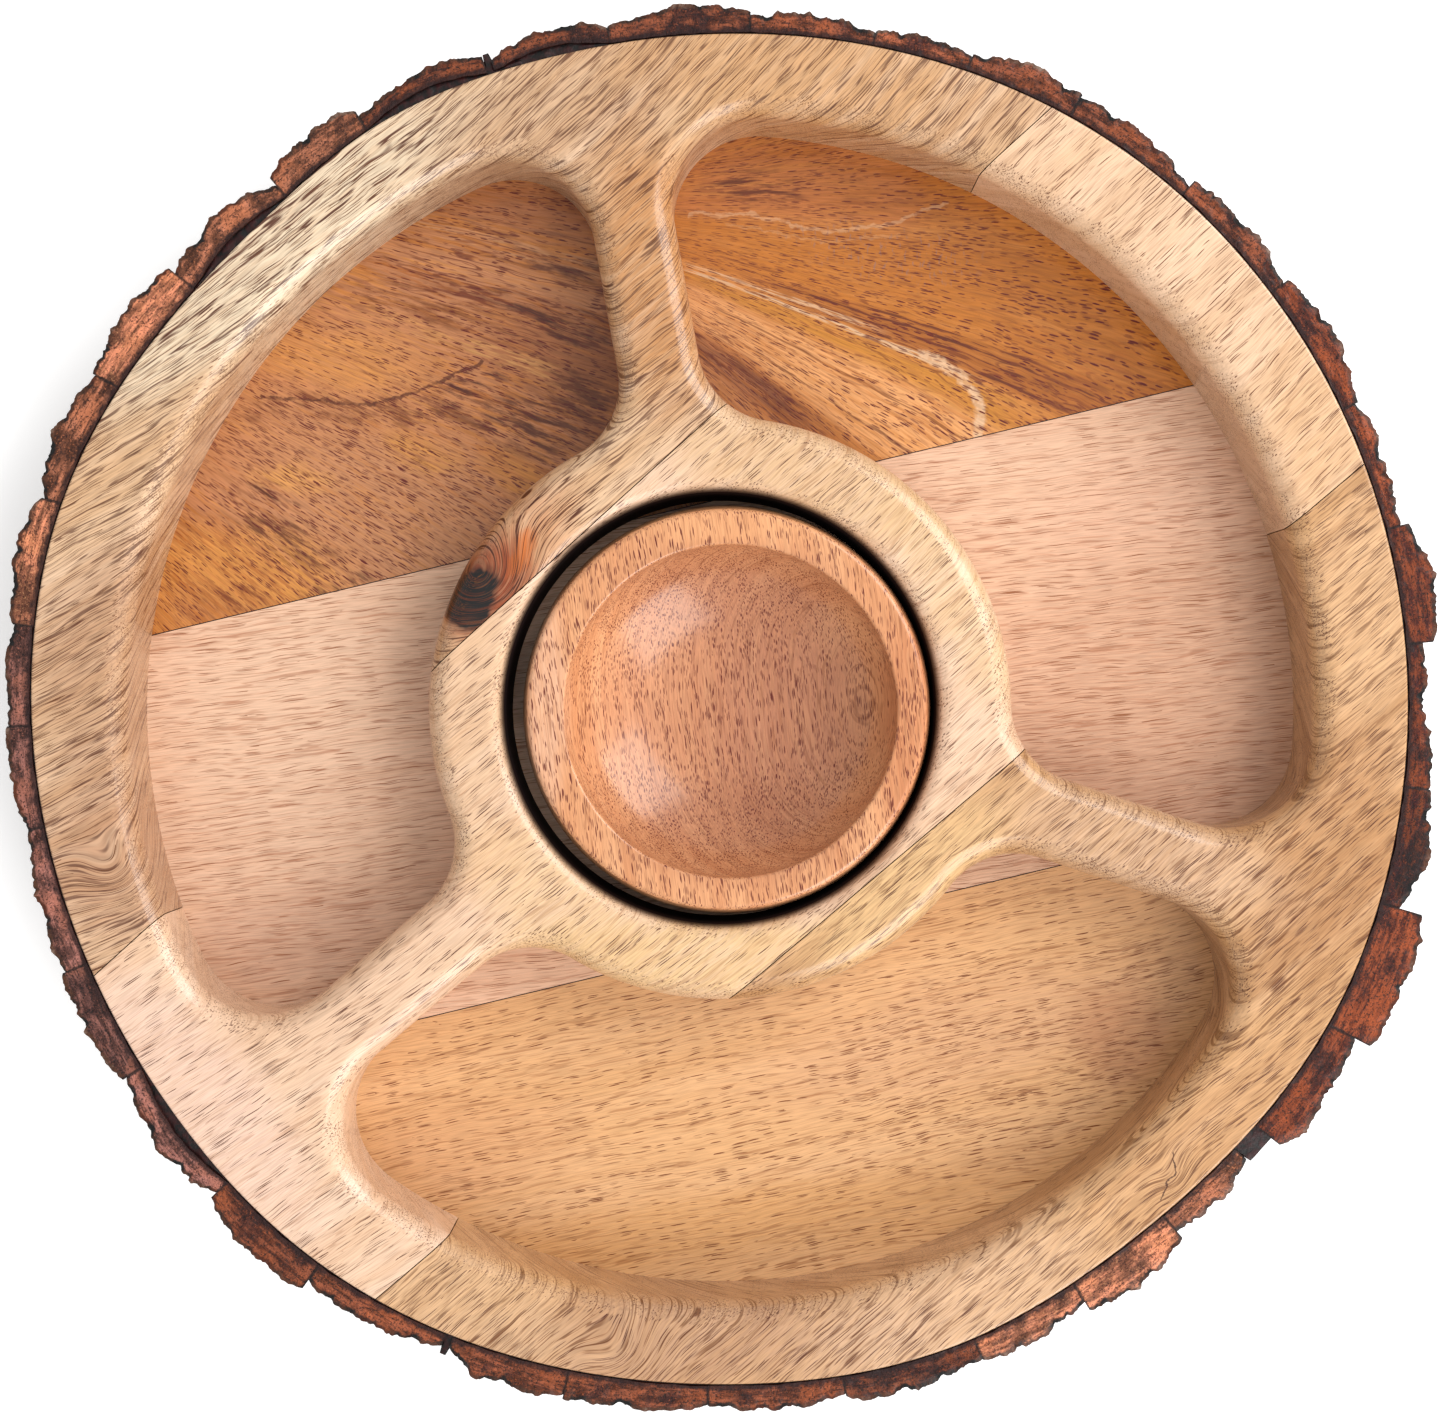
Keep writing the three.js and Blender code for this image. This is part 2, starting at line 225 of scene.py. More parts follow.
def compartment_ring(start, end, offset):
    """A compartment's wall from above, moved outwards by an offset. All offsets of one
    compartment share their arcs' centres, so their points stay in step."""
    half = math.radians(end - start) / 2
    outer_centre, hub_centre = OUTER_WALL - OUTER_CORNER, HUB_WALL + HUB_CORNER
    outer_turn = half - math.asin((SPOKE_HALF_WIDTH + OUTER_CORNER) / outer_centre)
    hub_turn = half - math.asin((SPOKE_HALF_WIDTH + HUB_CORNER) / hub_centre)
    side = half + math.pi / 2
    outer, hub = polar(outer_centre, outer_turn), polar(hub_centre, hub_turn)
    corner, hub_corner = OUTER_CORNER + offset, HUB_CORNER + offset
    upper = arc(outer, corner, outer_turn, side, 40)[1:]
    upper += arc(hub, hub_corner, side, hub_turn + math.pi, 40)
    lower = [(x, -y) for x, y in reversed(upper)]
    ring = arc((0, 0), OUTER_WALL + offset, -outer_turn, outer_turn, 130)
    ring += upper
    ring += arc((0, 0), HUB_WALL - offset, hub_turn, -hub_turn, 60)[1:-1]
    ring += lower
    turn = math.radians(start) + half
    cos, sin = math.cos(turn), math.sin(turn)
    return [(x * cos - y * sin, x * sin + y * cos) for x, y in ring]


def rounded_wall(bm, ring_at, rounding, steps=12):
    """A wall from the base's top up to a rounded edge. ring_at gives the ring at an offset."""
    rings = [add_ring(bm, ring_at(0), BASE_TOP)]
    for sine, rise in quarter(steps):
        rings.append(add_ring(bm, ring_at(rounding * rise), TOP - rounding * (1 - sine)))
    rings.append(add_ring(bm, ring_at(rounding + SUPPORT), TOP))
    loft(bm, rings)
    return rings


def frame_panel():
    """The whole frame before it is cut into its boards."""
    bm = bmesh.new()
    walls = [
        rounded_wall(bm, lambda o, a=a, b=b: compartment_ring(a, b, o), EDGE_ROUNDING)
        for a, b in zip(SPOKES, SPOKES[1:] + [SPOKES[0] + 360])
    ]
    walls.append(rounded_wall(bm, lambda o: circle(RECESS_RADIUS + o, 256), RECESS_ROUNDING))
    edge = [add_ring(bm, disc_ring(), BASE_TOP)]
    for sine, rise in quarter(3):
        inset = TOP_EDGE_ROUNDING * rise
        edge.append(add_ring(bm, disc_ring(inset), TOP - TOP_EDGE_ROUNDING * (1 - sine)))
    edge.append(add_ring(bm, disc_ring(TOP_EDGE_ROUNDING + SUPPORT), TOP))
    loft(bm, edge)
    fill(bm, [edge[-1]] + [wall[-1] for wall in walls])
    fill(bm, [edge[0]] + [wall[0] for wall in walls])
    return bm


def base_panel():
    bm = bmesh.new()
    rings = [add_ring(bm, disc_ring(UNDER_EDGE_ROUNDING + SUPPORT), 0)]
    for sine, rise in quarter(6):
        inset = UNDER_EDGE_ROUNDING * (1 - sine)
        rings.append(add_ring(bm, disc_ring(inset), UNDER_EDGE_ROUNDING * rise))
    rings.append(add_ring(bm, disc_ring(), BASE_TOP))
    loft(bm, rings)
    fill(bm, [rings[0]])
    fill(bm, [rings[-1]])
    return bm


def sawn(panel, cuts):
    """A copy of the panel with only what lies on the kept side of each (seam, sign) cut."""
    bm = panel.copy()
    for seam, sign in cuts:
        keep_side(bm, seam, sign, GLUE_LINE)
    return bm


def place(piece, body, slot, *nodes):
    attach(piece, body)
    if nodes:
        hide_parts(*nodes)


def slot_of(node):
    parts = frame["record"]["subparts"]
    return next(part["material_slot"] for part in parts if part["node"] == node)


# ---- Node tools ----


class Graph:
    """A material's node tree, built up from small steps that each return an output socket."""

    def __init__(self, name):
        self.material = bpy.data.materials.new(name)
        self.material.use_nodes = True
        self.tree = self.material.node_tree
        self.tree.nodes.clear()

    def node(self, kind, inputs, **settings):
        made = self.tree.nodes.new(kind)
        for key, value in settings.items():
            setattr(made, key, value)
        for key, value in inputs.items():
            if isinstance(value, bpy.types.NodeSocket):
                self.tree.links.new(value, made.inputs[key])
            else:
                made.inputs[key].default_value = value
        return made

    def math(self, operation, a, b=0.0, clamp=False):
        made = self.node("ShaderNodeMath", {0: a, 1: b}, operation=operation, use_clamp=clamp)
        return made.outputs[0]

    def vector(self, operation, a, b):
        return self.node("ShaderNodeVectorMath", {0: a, 1: b}, operation=operation).outputs[0]

    def length(self, vector):
        made = self.node("ShaderNodeVectorMath", {0: vector}, operation="LENGTH")
        return made.outputs[1]

    def blend(self, factor, a, b):
        """From number a at 0 to number b at 1."""
        return self.node("ShaderNodeMix", {0: factor, 2: a, 3: b}, data_type="FLOAT").outputs[0]

    def mix(self, factor, a, b, blend="MIX"):
        made = self.node(
            "ShaderNodeMix", {0: factor, 6: a, 7: b}, data_type="RGBA", blend_type=blend
        )
        return made.outputs[2]

    def noise(self, vector, detail=2.0, roughness=0.5, scale=1.0, distortion=0.0):
        settings = {"Vector": vector, "Scale": scale, "Detail": detail}
        settings.update({"Roughness": roughness, "Distortion": distortion})
        return self.node("ShaderNodeTexNoise", settings)

    def step(self, value, low, high, to_low=0.0, to_high=1.0):
        """Smoothly from to_low at low to to_high at high. Low may be above high."""
        if low > high:
            low, high, to_low, to_high = high, low, to_high, to_low
        made = self.node(
            "ShaderNodeMapRange",
            {"Value": value, "From Min": low, "From Max": high, "To Min": to_low,
             "To Max": to_high},
            interpolation_type="SMOOTHSTEP",
        )
        return made.outputs[0]

    def split(self, vector):
        return self.node("ShaderNodeSeparateXYZ", {0: vector}).outputs

    def join(self, x, y, z):
        return self.node("ShaderNodeCombineXYZ", {0: x, 1: y, 2: z}).outputs[0]

    def position(self):
        """The shaded point, in millimetres."""
        coords = self.node("ShaderNodeTexCoord", {}).outputs["Object"]
        return self.vector("MULTIPLY", coords, (1 / MM,) * 3)

    def bump(self, height, strength, depth):
        """Small relief, its depth in millimetres."""
        settings = {"Height": height, "Strength": strength, "Distance": depth * MM}
        return self.node("ShaderNodeBump", settings).outputs[0]

    def finish(self, shader):
        output = self.node("ShaderNodeOutputMaterial", {})
        self.tree.links.new(shader.outputs[0], output.inputs[0])
        return self.material


def linear(rgb):
    """An sRGB colour, 0 to 255, as the linear colour that the shaders take."""
    values = []
    for channel in rgb:
        c = channel / 255
        values.append(c / 12.92 if c <= 0.04045 else ((c + 0.055) / 1.055) ** 2.4)
    return values


# ---- Wood ----

# Colours in the tables are as they look under the lights. A surface has this much of their
# red, green and blue, less what the gloss adds, and is never darker than DARKEST.
GAIN = (0.72, 0.695, 0.675)
GLOSS = 0.012
DARKEST = 0.002


def tint(rgb):
    full = linear(rgb)
    return (*[max(value * gain - GLOSS, DARKEST) for value, gain in zip(full, GAIN)], 1.0)


# A pore reaches this share of its cell's size to each side of its centre, and a vein this far
# to each side of its line, in millimetres times the noise's usual slope.
PORE_REACH = 0.34
VEIN_REACH = 0.034
# How far the lines' short waves carry them to each side.
CURL = 0.5


def warped(graph, vector, amount, sizes):
    """The vector pushed about by soft noise whose lumps have these sizes."""
    lumps = graph.vector("DIVIDE", vector, sizes)
    push = graph.noise(lumps, 4.0, 0.62).outputs["Color"]
    push = graph.vector("SUBTRACT", push, (0.5,) * 3)
    return graph.vector("ADD", vector, graph.vector("MULTIPLY", push, amount))


def spot(graph, position, x, y, along, across, angle, soft=0.45):
    """A mask, 1 inside an oval lying at an angle and 0 outside, with a soft edge."""
    offset = graph.vector("SUBTRACT", position, (x, y, 0))
    turned = graph.node(
        "ShaderNodeVectorRotate",
        {"Vector": offset, "Angle": -math.radians(angle)},
        rotation_type="Z_AXIS",
    ).outputs[0]
    scaled = graph.vector("MULTIPLY", turned, (1 / along, 1 / across, 0))
    return graph.step(graph.length(scaled), 1 + soft, 1 - soft)


def stroke(graph, position, points, width):
    """A mask, 1 on a line through the points and 0 beyond its width."""
    flat = graph.vector("MULTIPLY", position, (1, 1, 0))
    nearest = None
    for (ax, ay), (bx, by) in zip(points, points[1:]):
        offset = graph.vector("SUBTRACT", flat, (ax, ay, 0))
        side = Vector((bx - ax, by - ay, 0))
        along = graph.node(
            "ShaderNodeVectorMath", {0: offset, 1: side / side.length_squared},
            operation="DOT_PRODUCT",
        ).outputs[1]
        along = graph.math("ADD", along, 0.0, clamp=True)
        foot = graph.vector("MULTIPLY", graph.join(along, along, 0.0), side)
        distance = graph.length(graph.vector("SUBTRACT", offset, foot))
        nearest = distance if nearest is None else graph.math("MINIMUM", nearest, distance)
    return graph.step(nearest, width, width * 0.35)


def pores(graph, grain, length, width, share, seed):
    """Thin dashes along the grain, which show as dots where the wood is cut across. Only a share
    of their places is filled, and some are fainter than others."""
    cell = [size / (2 * PORE_REACH) for size in (length, width, width)]
    cells = graph.vector("DIVIDE", grain, cell)
    cells = graph.vector("ADD", cells, (seed, seed * 0.7, seed * 1.3))
    found = graph.node("ShaderNodeTexVoronoi", {"Vector": cells, "Scale": 1.0}, feature="F1")
    chance, depth = graph.split(found.outputs["Color"])[:2]
    dash = graph.step(found.outputs["Distance"], PORE_REACH * 1.12, PORE_REACH * 0.75)
    filled = graph.math("LESS_THAN", chance, share)
    depth = graph.step(depth, 0.0, 1.0, 0.4, 1.0)
    return graph.math("MULTIPLY", dash, graph.math("MULTIPLY", filled, depth))


def veins(graph, u, layer, z, spacing, run, seed):
    """Hair-thin lines along the growth layers, broken here and there."""
    level = graph.noise(
        graph.join(
            graph.math("DIVIDE", u, run),
            graph.math("DIVIDE", layer, spacing),
            graph.math("ADD", graph.math("DIVIDE", z, 30.0), seed),
        ),
        1.0,
    ).outputs[0]
    off = graph.math("ABSOLUTE", graph.math("SUBTRACT", level, 0.5))
    line = graph.step(off, VEIN_REACH * 1.3 / spacing, VEIN_REACH * 0.5 / spacing)
    broken = graph.noise(
        graph.join(
            graph.math("DIVIDE", u, 8.0), graph.math("DIVIDE", layer, 1.3), seed * 2.3
        ),
        1.0,
    ).outputs[0]
    return graph.math("MULTIPLY", line, graph.step(broken, 0.42, 0.56))


def straight_flow(graph, position, look):
    """Distances along and across the grain of a board whose lines bend evenly."""
    turned = graph.node(
        "ShaderNodeVectorRotate",
        {"Vector": position, "Angle": -math.radians(look["grain"])},
        rotation_type="Z_AXIS",
    ).outputs[0]
    u, v, z = graph.split(turned)
    bend = graph.math("MULTIPLY", graph.math("MULTIPLY", u, u), -look.get("bend", 0.0))
    return u, graph.math("ADD", v, bend), z


def fan_flow(graph, position, centre, radius, swirl):
    """Lines that spread from a centre, turning steadily: the distance out from it, and the
    distance across the lines as it would be at the radius."""
    offset = graph.vector("SUBTRACT", position, (*centre, 0))
    x, y, z = graph.split(offset)
    out = graph.length(graph.vector("MULTIPLY", offset, (1, 1, 0)))
    turn = graph.math("ARCTAN2", y, x)
    drift = graph.math("MULTIPLY", graph.math("LOGARITHM", out, math.e), swirl)
    drift = graph.math("SUBTRACT", drift, swirl * math.log(radius))
    return out, graph.math("MULTIPLY", graph.math("ADD", turn, drift), radius), z


def flow(graph, position, look):
    """The board's flow of grain (along, across, up), with its lines pushed round knots."""
    if "fans" not in look:
        u, v, z = straight_flow(graph, position, look)
    else:
        (split_at, left, right) = look["fans"]
        flows = [fan_flow(graph, position, *fan[:3]) for fan in (left, right)]
        side = graph.step(graph.split(position)[0], split_at - 3, split_at + 3)
        u, v, z = [graph.blend(side, a, b) for a, b in zip(*flows)]
    for x, y, reach, push in look.get("knots", []):
        offset = graph.vector("SUBTRACT", position, (x, y, 0))
        near = graph.length(graph.vector("MULTIPLY", offset, (1 / reach, 1 / reach, 0)))
        bulge = graph.math("EXPONENT", graph.math("MULTIPLY", near, graph.math(
            "MULTIPLY", near, -1.0)))
        v = graph.math("ADD", v, graph.math("MULTIPLY", bulge, push))
    return u, v, z


def bands(graph, colour, position, u, v, look):
    """Long bands of other colours that follow a fan's lines. A band has the line's angle in
    degrees, its half-width, where it starts and ends along the fan, its colour and strength."""
    split_at, left, right = look["fans"]
    across = graph.math("DIVIDE", v, 1.5)
    streak = graph.noise(
        graph.join(graph.math("DIVIDE", u, 22.0), across, 3.0), 3.0, 0.6
    ).outputs[0]
    fray = graph.math("MULTIPLY", graph.math("SUBTRACT", streak, 0.5), 2.4)
    thin = graph.step(streak, 0.36, 0.56, 0.35, 1.0)
    gaps = graph.noise(
        graph.join(graph.math("DIVIDE", u, 9.0), graph.math("DIVIDE", v, 0.7), 5.0), 2.0
    ).outputs[0]
    gaps = graph.step(gaps, 0.42, 0.54, 0.1, 1.0)
    for fan in (left, right):
        radius, strips = fan[1], fan[3]
        for angle, half, start, end, rgb, strength in strips:
            middle = math.radians(angle) * radius
            reach = math.radians(half) * radius
            wide = reach > 1.0
            off = graph.math("ADD", v, fray) if wide else v
            off = graph.math("ABSOLUTE", graph.math("SUBTRACT", off, middle))
            mask = graph.step(off, reach * 1.3, reach * 0.7)
            mask = graph.math("MULTIPLY", mask, thin if wide else gaps)
            mask = graph.math("MULTIPLY", mask, graph.step(u, start - 8, start + 8))
            mask = graph.math("MULTIPLY", mask, graph.step(u, end + 8, end - 8))
            side = graph.step(graph.split(position)[0], split_at - 3, split_at + 3)
            if fan is left:
                side = graph.math("SUBTRACT", 1.0, side)
            mask = graph.math("MULTIPLY", mask, side)
            colour = graph.mix(graph.math("MULTIPLY", mask, strength), colour, tint(rgb))
    return colour


def wood(name, look):
    """A lacquered board. Its figure is solid: it runs through the board along the grain, so
    faces, rounded edges and walls all show the same wood."""
    graph = Graph(name)
    position = graph.position()
    seed = look["seed"]
    u, v, z = flow(graph, position, look)

    # The lines waver a little, in long and in short waves.
    wave = look.get("wave", 3.0)
    long_wave = graph.noise(
        graph.join(graph.math("DIVIDE", u, 70.0), graph.math("DIVIDE", v, 30.0), seed * 3.1), 1.0
    ).outputs[0]
    short_wave = graph.noise(
        graph.join(graph.math("DIVIDE", u, 9.0), graph.math("DIVIDE", v, 6.0), seed * 5.7), 1.0
    ).outputs[0]
    waver = graph.math("ADD", graph.math("MULTIPLY", long_wave, 2 * wave),
                       graph.math("MULTIPLY", short_wave, 2 * CURL))
    v = graph.math("ADD", v, graph.math("SUBTRACT", waver, wave + CURL))
    grain = graph.join(u, v, z)

    # Growth layers, tilted through the board's thickness.
    layer = graph.math("ADD", v, graph.math("MULTIPLY", z, look.get("tilt", 0.6)))
    layers = graph.join(
        graph.math("DIVIDE", u, look.get("run", 200.0)),
        graph.math("DIVIDE", layer, look.get("spacing", 4.0)),
        graph.math("ADD", graph.math("DIVIDE", z, 40.0), seed * 7.3),
    )
    band = graph.noise(layers, look.get("figure", 2.0), 0.5).outputs[0]
    contrast = look.get("contrast", 0.17)
    tone = graph.step(band, 0.5 - contrast, 0.5 + contrast)
    colour = graph.mix(tone, tint(look["dark"]), tint(look["light"]))
    broad = graph.noise(graph.vector("DIVIDE", grain, (70, 16, 24)), 3.0, 0.55).outputs[0]
    broad = graph.step(broad, 0.4, 0.62)
    colour = graph.mix(
        graph.math("MULTIPLY", broad, look.get("patchy", 0.5)), colour, tint(look["broad"])
    )
    if "fans" in look:
        colour = bands(graph, colour, position, u, v, look)

    # Features at their own places: soft patches of other colours, then drawn-out marks.
    place_at = warped(graph, position, (look.get("ragged", 9.0),) * 3, (20, 20, 26))
    streaky = graph.join(
        graph.math("DIVIDE", u, 12.0), graph.math("DIVIDE", layer, 1.1), seed + 2.0
    )
    streaky = graph.noise(streaky, 3.0, 0.6).outputs[0]
    streaky = graph.step(streaky, 0.42, 0.56, 1 - look.get("streaky", 0.3), 1.0)
    for x, y, along, across, angle, rgb, strength in look.get("spots", []):
        mask = spot(graph, place_at, x, y, along, across, angle)
        mask = graph.math("MULTIPLY", graph.math("MULTIPLY", mask, streaky), strength, True)
        colour = graph.mix(mask, colour, tint(rgb))

    # Smoky patches with ragged edges.
    if "smokes" in look:
        ragged = graph.noise(
            graph.join(
                graph.math("DIVIDE", u, 14.0), graph.math("DIVIDE", layer, 1.8), seed + 9.0
            ),
            5.0, 0.66,
        ).outputs[0]
        ragged = graph.step(ragged, 0.43, 0.6)
        for x, y, along, across, angle, rgb, strength in look["smokes"]:
            mask = spot(graph, place_at, x, y, along, across, angle)
            mask = graph.math("MULTIPLY", graph.math("MULTIPLY", mask, ragged), strength)
            colour = graph.mix(mask, colour, tint(rgb))

    # Fine lines along the layers, strongest where the look's line spots say.
    strength = look.get("lines", 0.3)
    for x, y, along, across, angle, extra in look.get("line_spots", []):
        mask = spot(graph, place_at, x, y, along, across, angle)
        strength = graph.math("ADD", strength, graph.math("MULTIPLY", mask, extra))
    for spacing, run, weight in look.get("line_sets", [(1.7, 60.0, 1.0), (1.0, 28.0, 0.8)]):
        line = veins(graph, u, layer, z, spacing, run, seed + spacing)
        line = graph.math("MULTIPLY", line, graph.math("MULTIPLY", strength, weight), True)
        colour = graph.mix(line, colour, tint(look["line"]))
    for width, rgb, weight, points in look.get("strokes", []):
        near = warped(graph, position, (3.6,) * 3, (4, 4, 8))
        mask = stroke(graph, near, points, width)
        broken = graph.noise(graph.vector("DIVIDE", position, (2.5,) * 3), 2.0).outputs[0]
        mask = graph.math("MULTIPLY", mask, graph.step(broken, 0.34, 0.5, 0.5, 1.0))
        colour = graph.mix(graph.math("MULTIPLY", mask, weight), colour, tint(rgb))

    for x, y, along, across, angle, rgb, weight in look.get("flecks", []):
        mask = spot(graph, place_at, x, y, along, across, angle)
        fleck = graph.noise(graph.vector("DIVIDE", position, (0.8, 2.4, 2.4)), 2.0).outputs[0]
        mask = graph.math("MULTIPLY", mask, graph.step(fleck, 0.56, 0.68, 0.0, weight))
        colour = graph.mix(mask, colour, tint(rgb))

    # Fibres: faint lengthwise variation in tone.
    fibre = graph.noise(graph.vector("DIVIDE", grain, (7, 0.4, 0.4)), 1.0).outputs[0]
    shade = graph.step(fibre, 0.3, 0.7, 1 - look.get("fibre", 0.13), 1.05)
    colour = graph.mix(1.0, colour, graph.join(shade, shade, shade), "MULTIPLY")

    # Pores in two sizes, in rows that are denser in some places than in others.
    length, width, share = look["pores"]
    crowd = graph.noise(graph.vector("DIVIDE", grain, (16, 2.6, 5)), 2.0, 0.5).outputs[0]
    share = graph.step(crowd, 0.64, 0.4, share * 0.3, share * 1.4)
    for x, y, along, across, angle, extra in look.get("pore_spots", []):
        mask = spot(graph, place_at, x, y, along, across, angle)
        share = graph.math("MULTIPLY", share, graph.step(mask, 0.0, 1.0, 1.0, extra))
    pore = pores(graph, grain, length, width, share, seed)
    smaller = pores(graph, grain, length * 0.72, width * 0.88, share, seed + 3.3)
    pore = graph.math("MAXIMUM", pore, smaller)
    colour = graph.mix(pore, colour, tint(look["pore"]))

    # Painted shade: the wood darkens to a dark brown towards the wall of the bowl's recess.
    if "recess" in look:
        middle = graph.length(graph.vector("MULTIPLY", position, (1, 1, 0)))
        inside = graph.step(middle, RECESS_RADIUS + 2.0, RECESS_RADIUS + 0.3)
        colour = graph.mix(
            graph.math("MULTIPLY", inside, look["recess"]), colour, tint((44, 20, 14))
        )

    height = graph.math("SUBTRACT", graph.math("MULTIPLY", fibre, 0.5), pore)
    bump = graph.bump(height, 0.5, 0.1)
    rough = graph.step(fibre, 0.2, 0.8, 0.36, 0.5)
    shader = graph.node(
        "ShaderNodeBsdfPrincipled",
        {"Base Color": colour, "Roughness": rough, "Normal": bump, "IOR": 1.3,
         "Coat Weight": 0.6, "Coat Roughness": 0.2, "Coat IOR": 1.5},
    )
    return graph.finish(shader)


# A look's spots are (x, y, half-length, half-width, angle, colour, strength), its line spots
# (x, y, half-length, half-width, angle, extra strength), its knots (x, y, reach, push across
# the grain), its strokes (width, colour, strength, points). Its pores are (length, width, share
# of their places filled), its pore spots (x, y, half-length, half-width, angle, times as many),
# and its smokes and flecks are like spots. A fan is its centre, the radius its widths are measured at, its
# swirl and its bands.
REAR_LEFT_FAN = ((-293, 171), 230, 0.0, [
    (-9.6, 1.7, 200, 300, (196, 126, 82), 0.8),
    (-11.2, 0.14, 215, 300, (116, 56, 26), 0.7),
    (-12.3, 0.18, 205, 300, (236, 190, 150), 0.45),
    (-12.9, 0.12, 225, 300, (236, 190, 150), 0.4),
    (-13.4, 0.12, 205, 300, (110, 62, 38), 0.6),
    (-14.3, 0.5, 200, 300, (222, 158, 112), 0.9),
    (-15.05, 0.12, 205, 300, (92, 44, 18), 0.85),
    (-15.5, 0.1, 225, 300, (94, 46, 20), 0.85),
    (-16.1, 0.2, 236, 300, (84, 40, 26), 0.85),
    (-16.7, 0.12, 215, 300, (94, 46, 18), 0.8),
    (-17.0, 1.3, 215, 300, (172, 104, 66), 0.55),
    (-17.5, 0.15, 228, 300, (88, 42, 18), 0.85),
    (-18.1, 0.1, 220, 280, (104, 52, 22), 0.7),
    (-18.8, 0.55, 215, 270, (236, 180, 114), 0.8),
    (-22.0, 3.4, 150, 236, (224, 160, 104), 0.75),
    (-31.0, 5.5, 150, 300, (216, 156, 112), 0.7),
])
REAR_RIGHT_FAN = ((-60, 125), 100, 0.09, [
    (8.0, 9.0, 30, 110, (208, 130, 74), 0.9),
    (5.0, 9.0, 114, 200, (202, 126, 58), 0.8),
    (-8.0, 6.0, 30, 200, (206, 128, 54), 0.9),
    (-14.4, 1.9, 74, 170, (168, 98, 44), 0.6),
    (-12.6, 0.16, 90, 160, (102, 46, 14), 0.8),
    (-13.5, 0.2, 76, 170, (96, 42, 12), 0.85),
    (-14.5, 0.16, 88, 165, (102, 46, 14), 0.85),
    (-15.8, 0.18, 96, 160, (98, 44, 14), 0.8),
    (-18.8, 1.9, 50, 145, (216, 146, 62), 0.9),
    (-25.0, 4.6, 45, 150, (250, 182, 120), 0.95),
    (-23.0, 0.18, 60, 140, (130, 74, 40), 0.7),
    (-27.5, 0.18, 66, 140, (122, 68, 38), 0.7),
    (-32.2, 1.7, 45, 96, (112, 56, 18), 0.85),
    (-34.6, 0.3, 52, 120, (104, 50, 18), 0.8),
    (-40.0, 5.0, 45, 150, (214, 144, 90), 0.7),
    (-15.2, 0.4, 50, 102, (240, 198, 158), 0.75),
    (-16.7, 0.42, 50, 130, (240, 200, 160), 0.9),
])
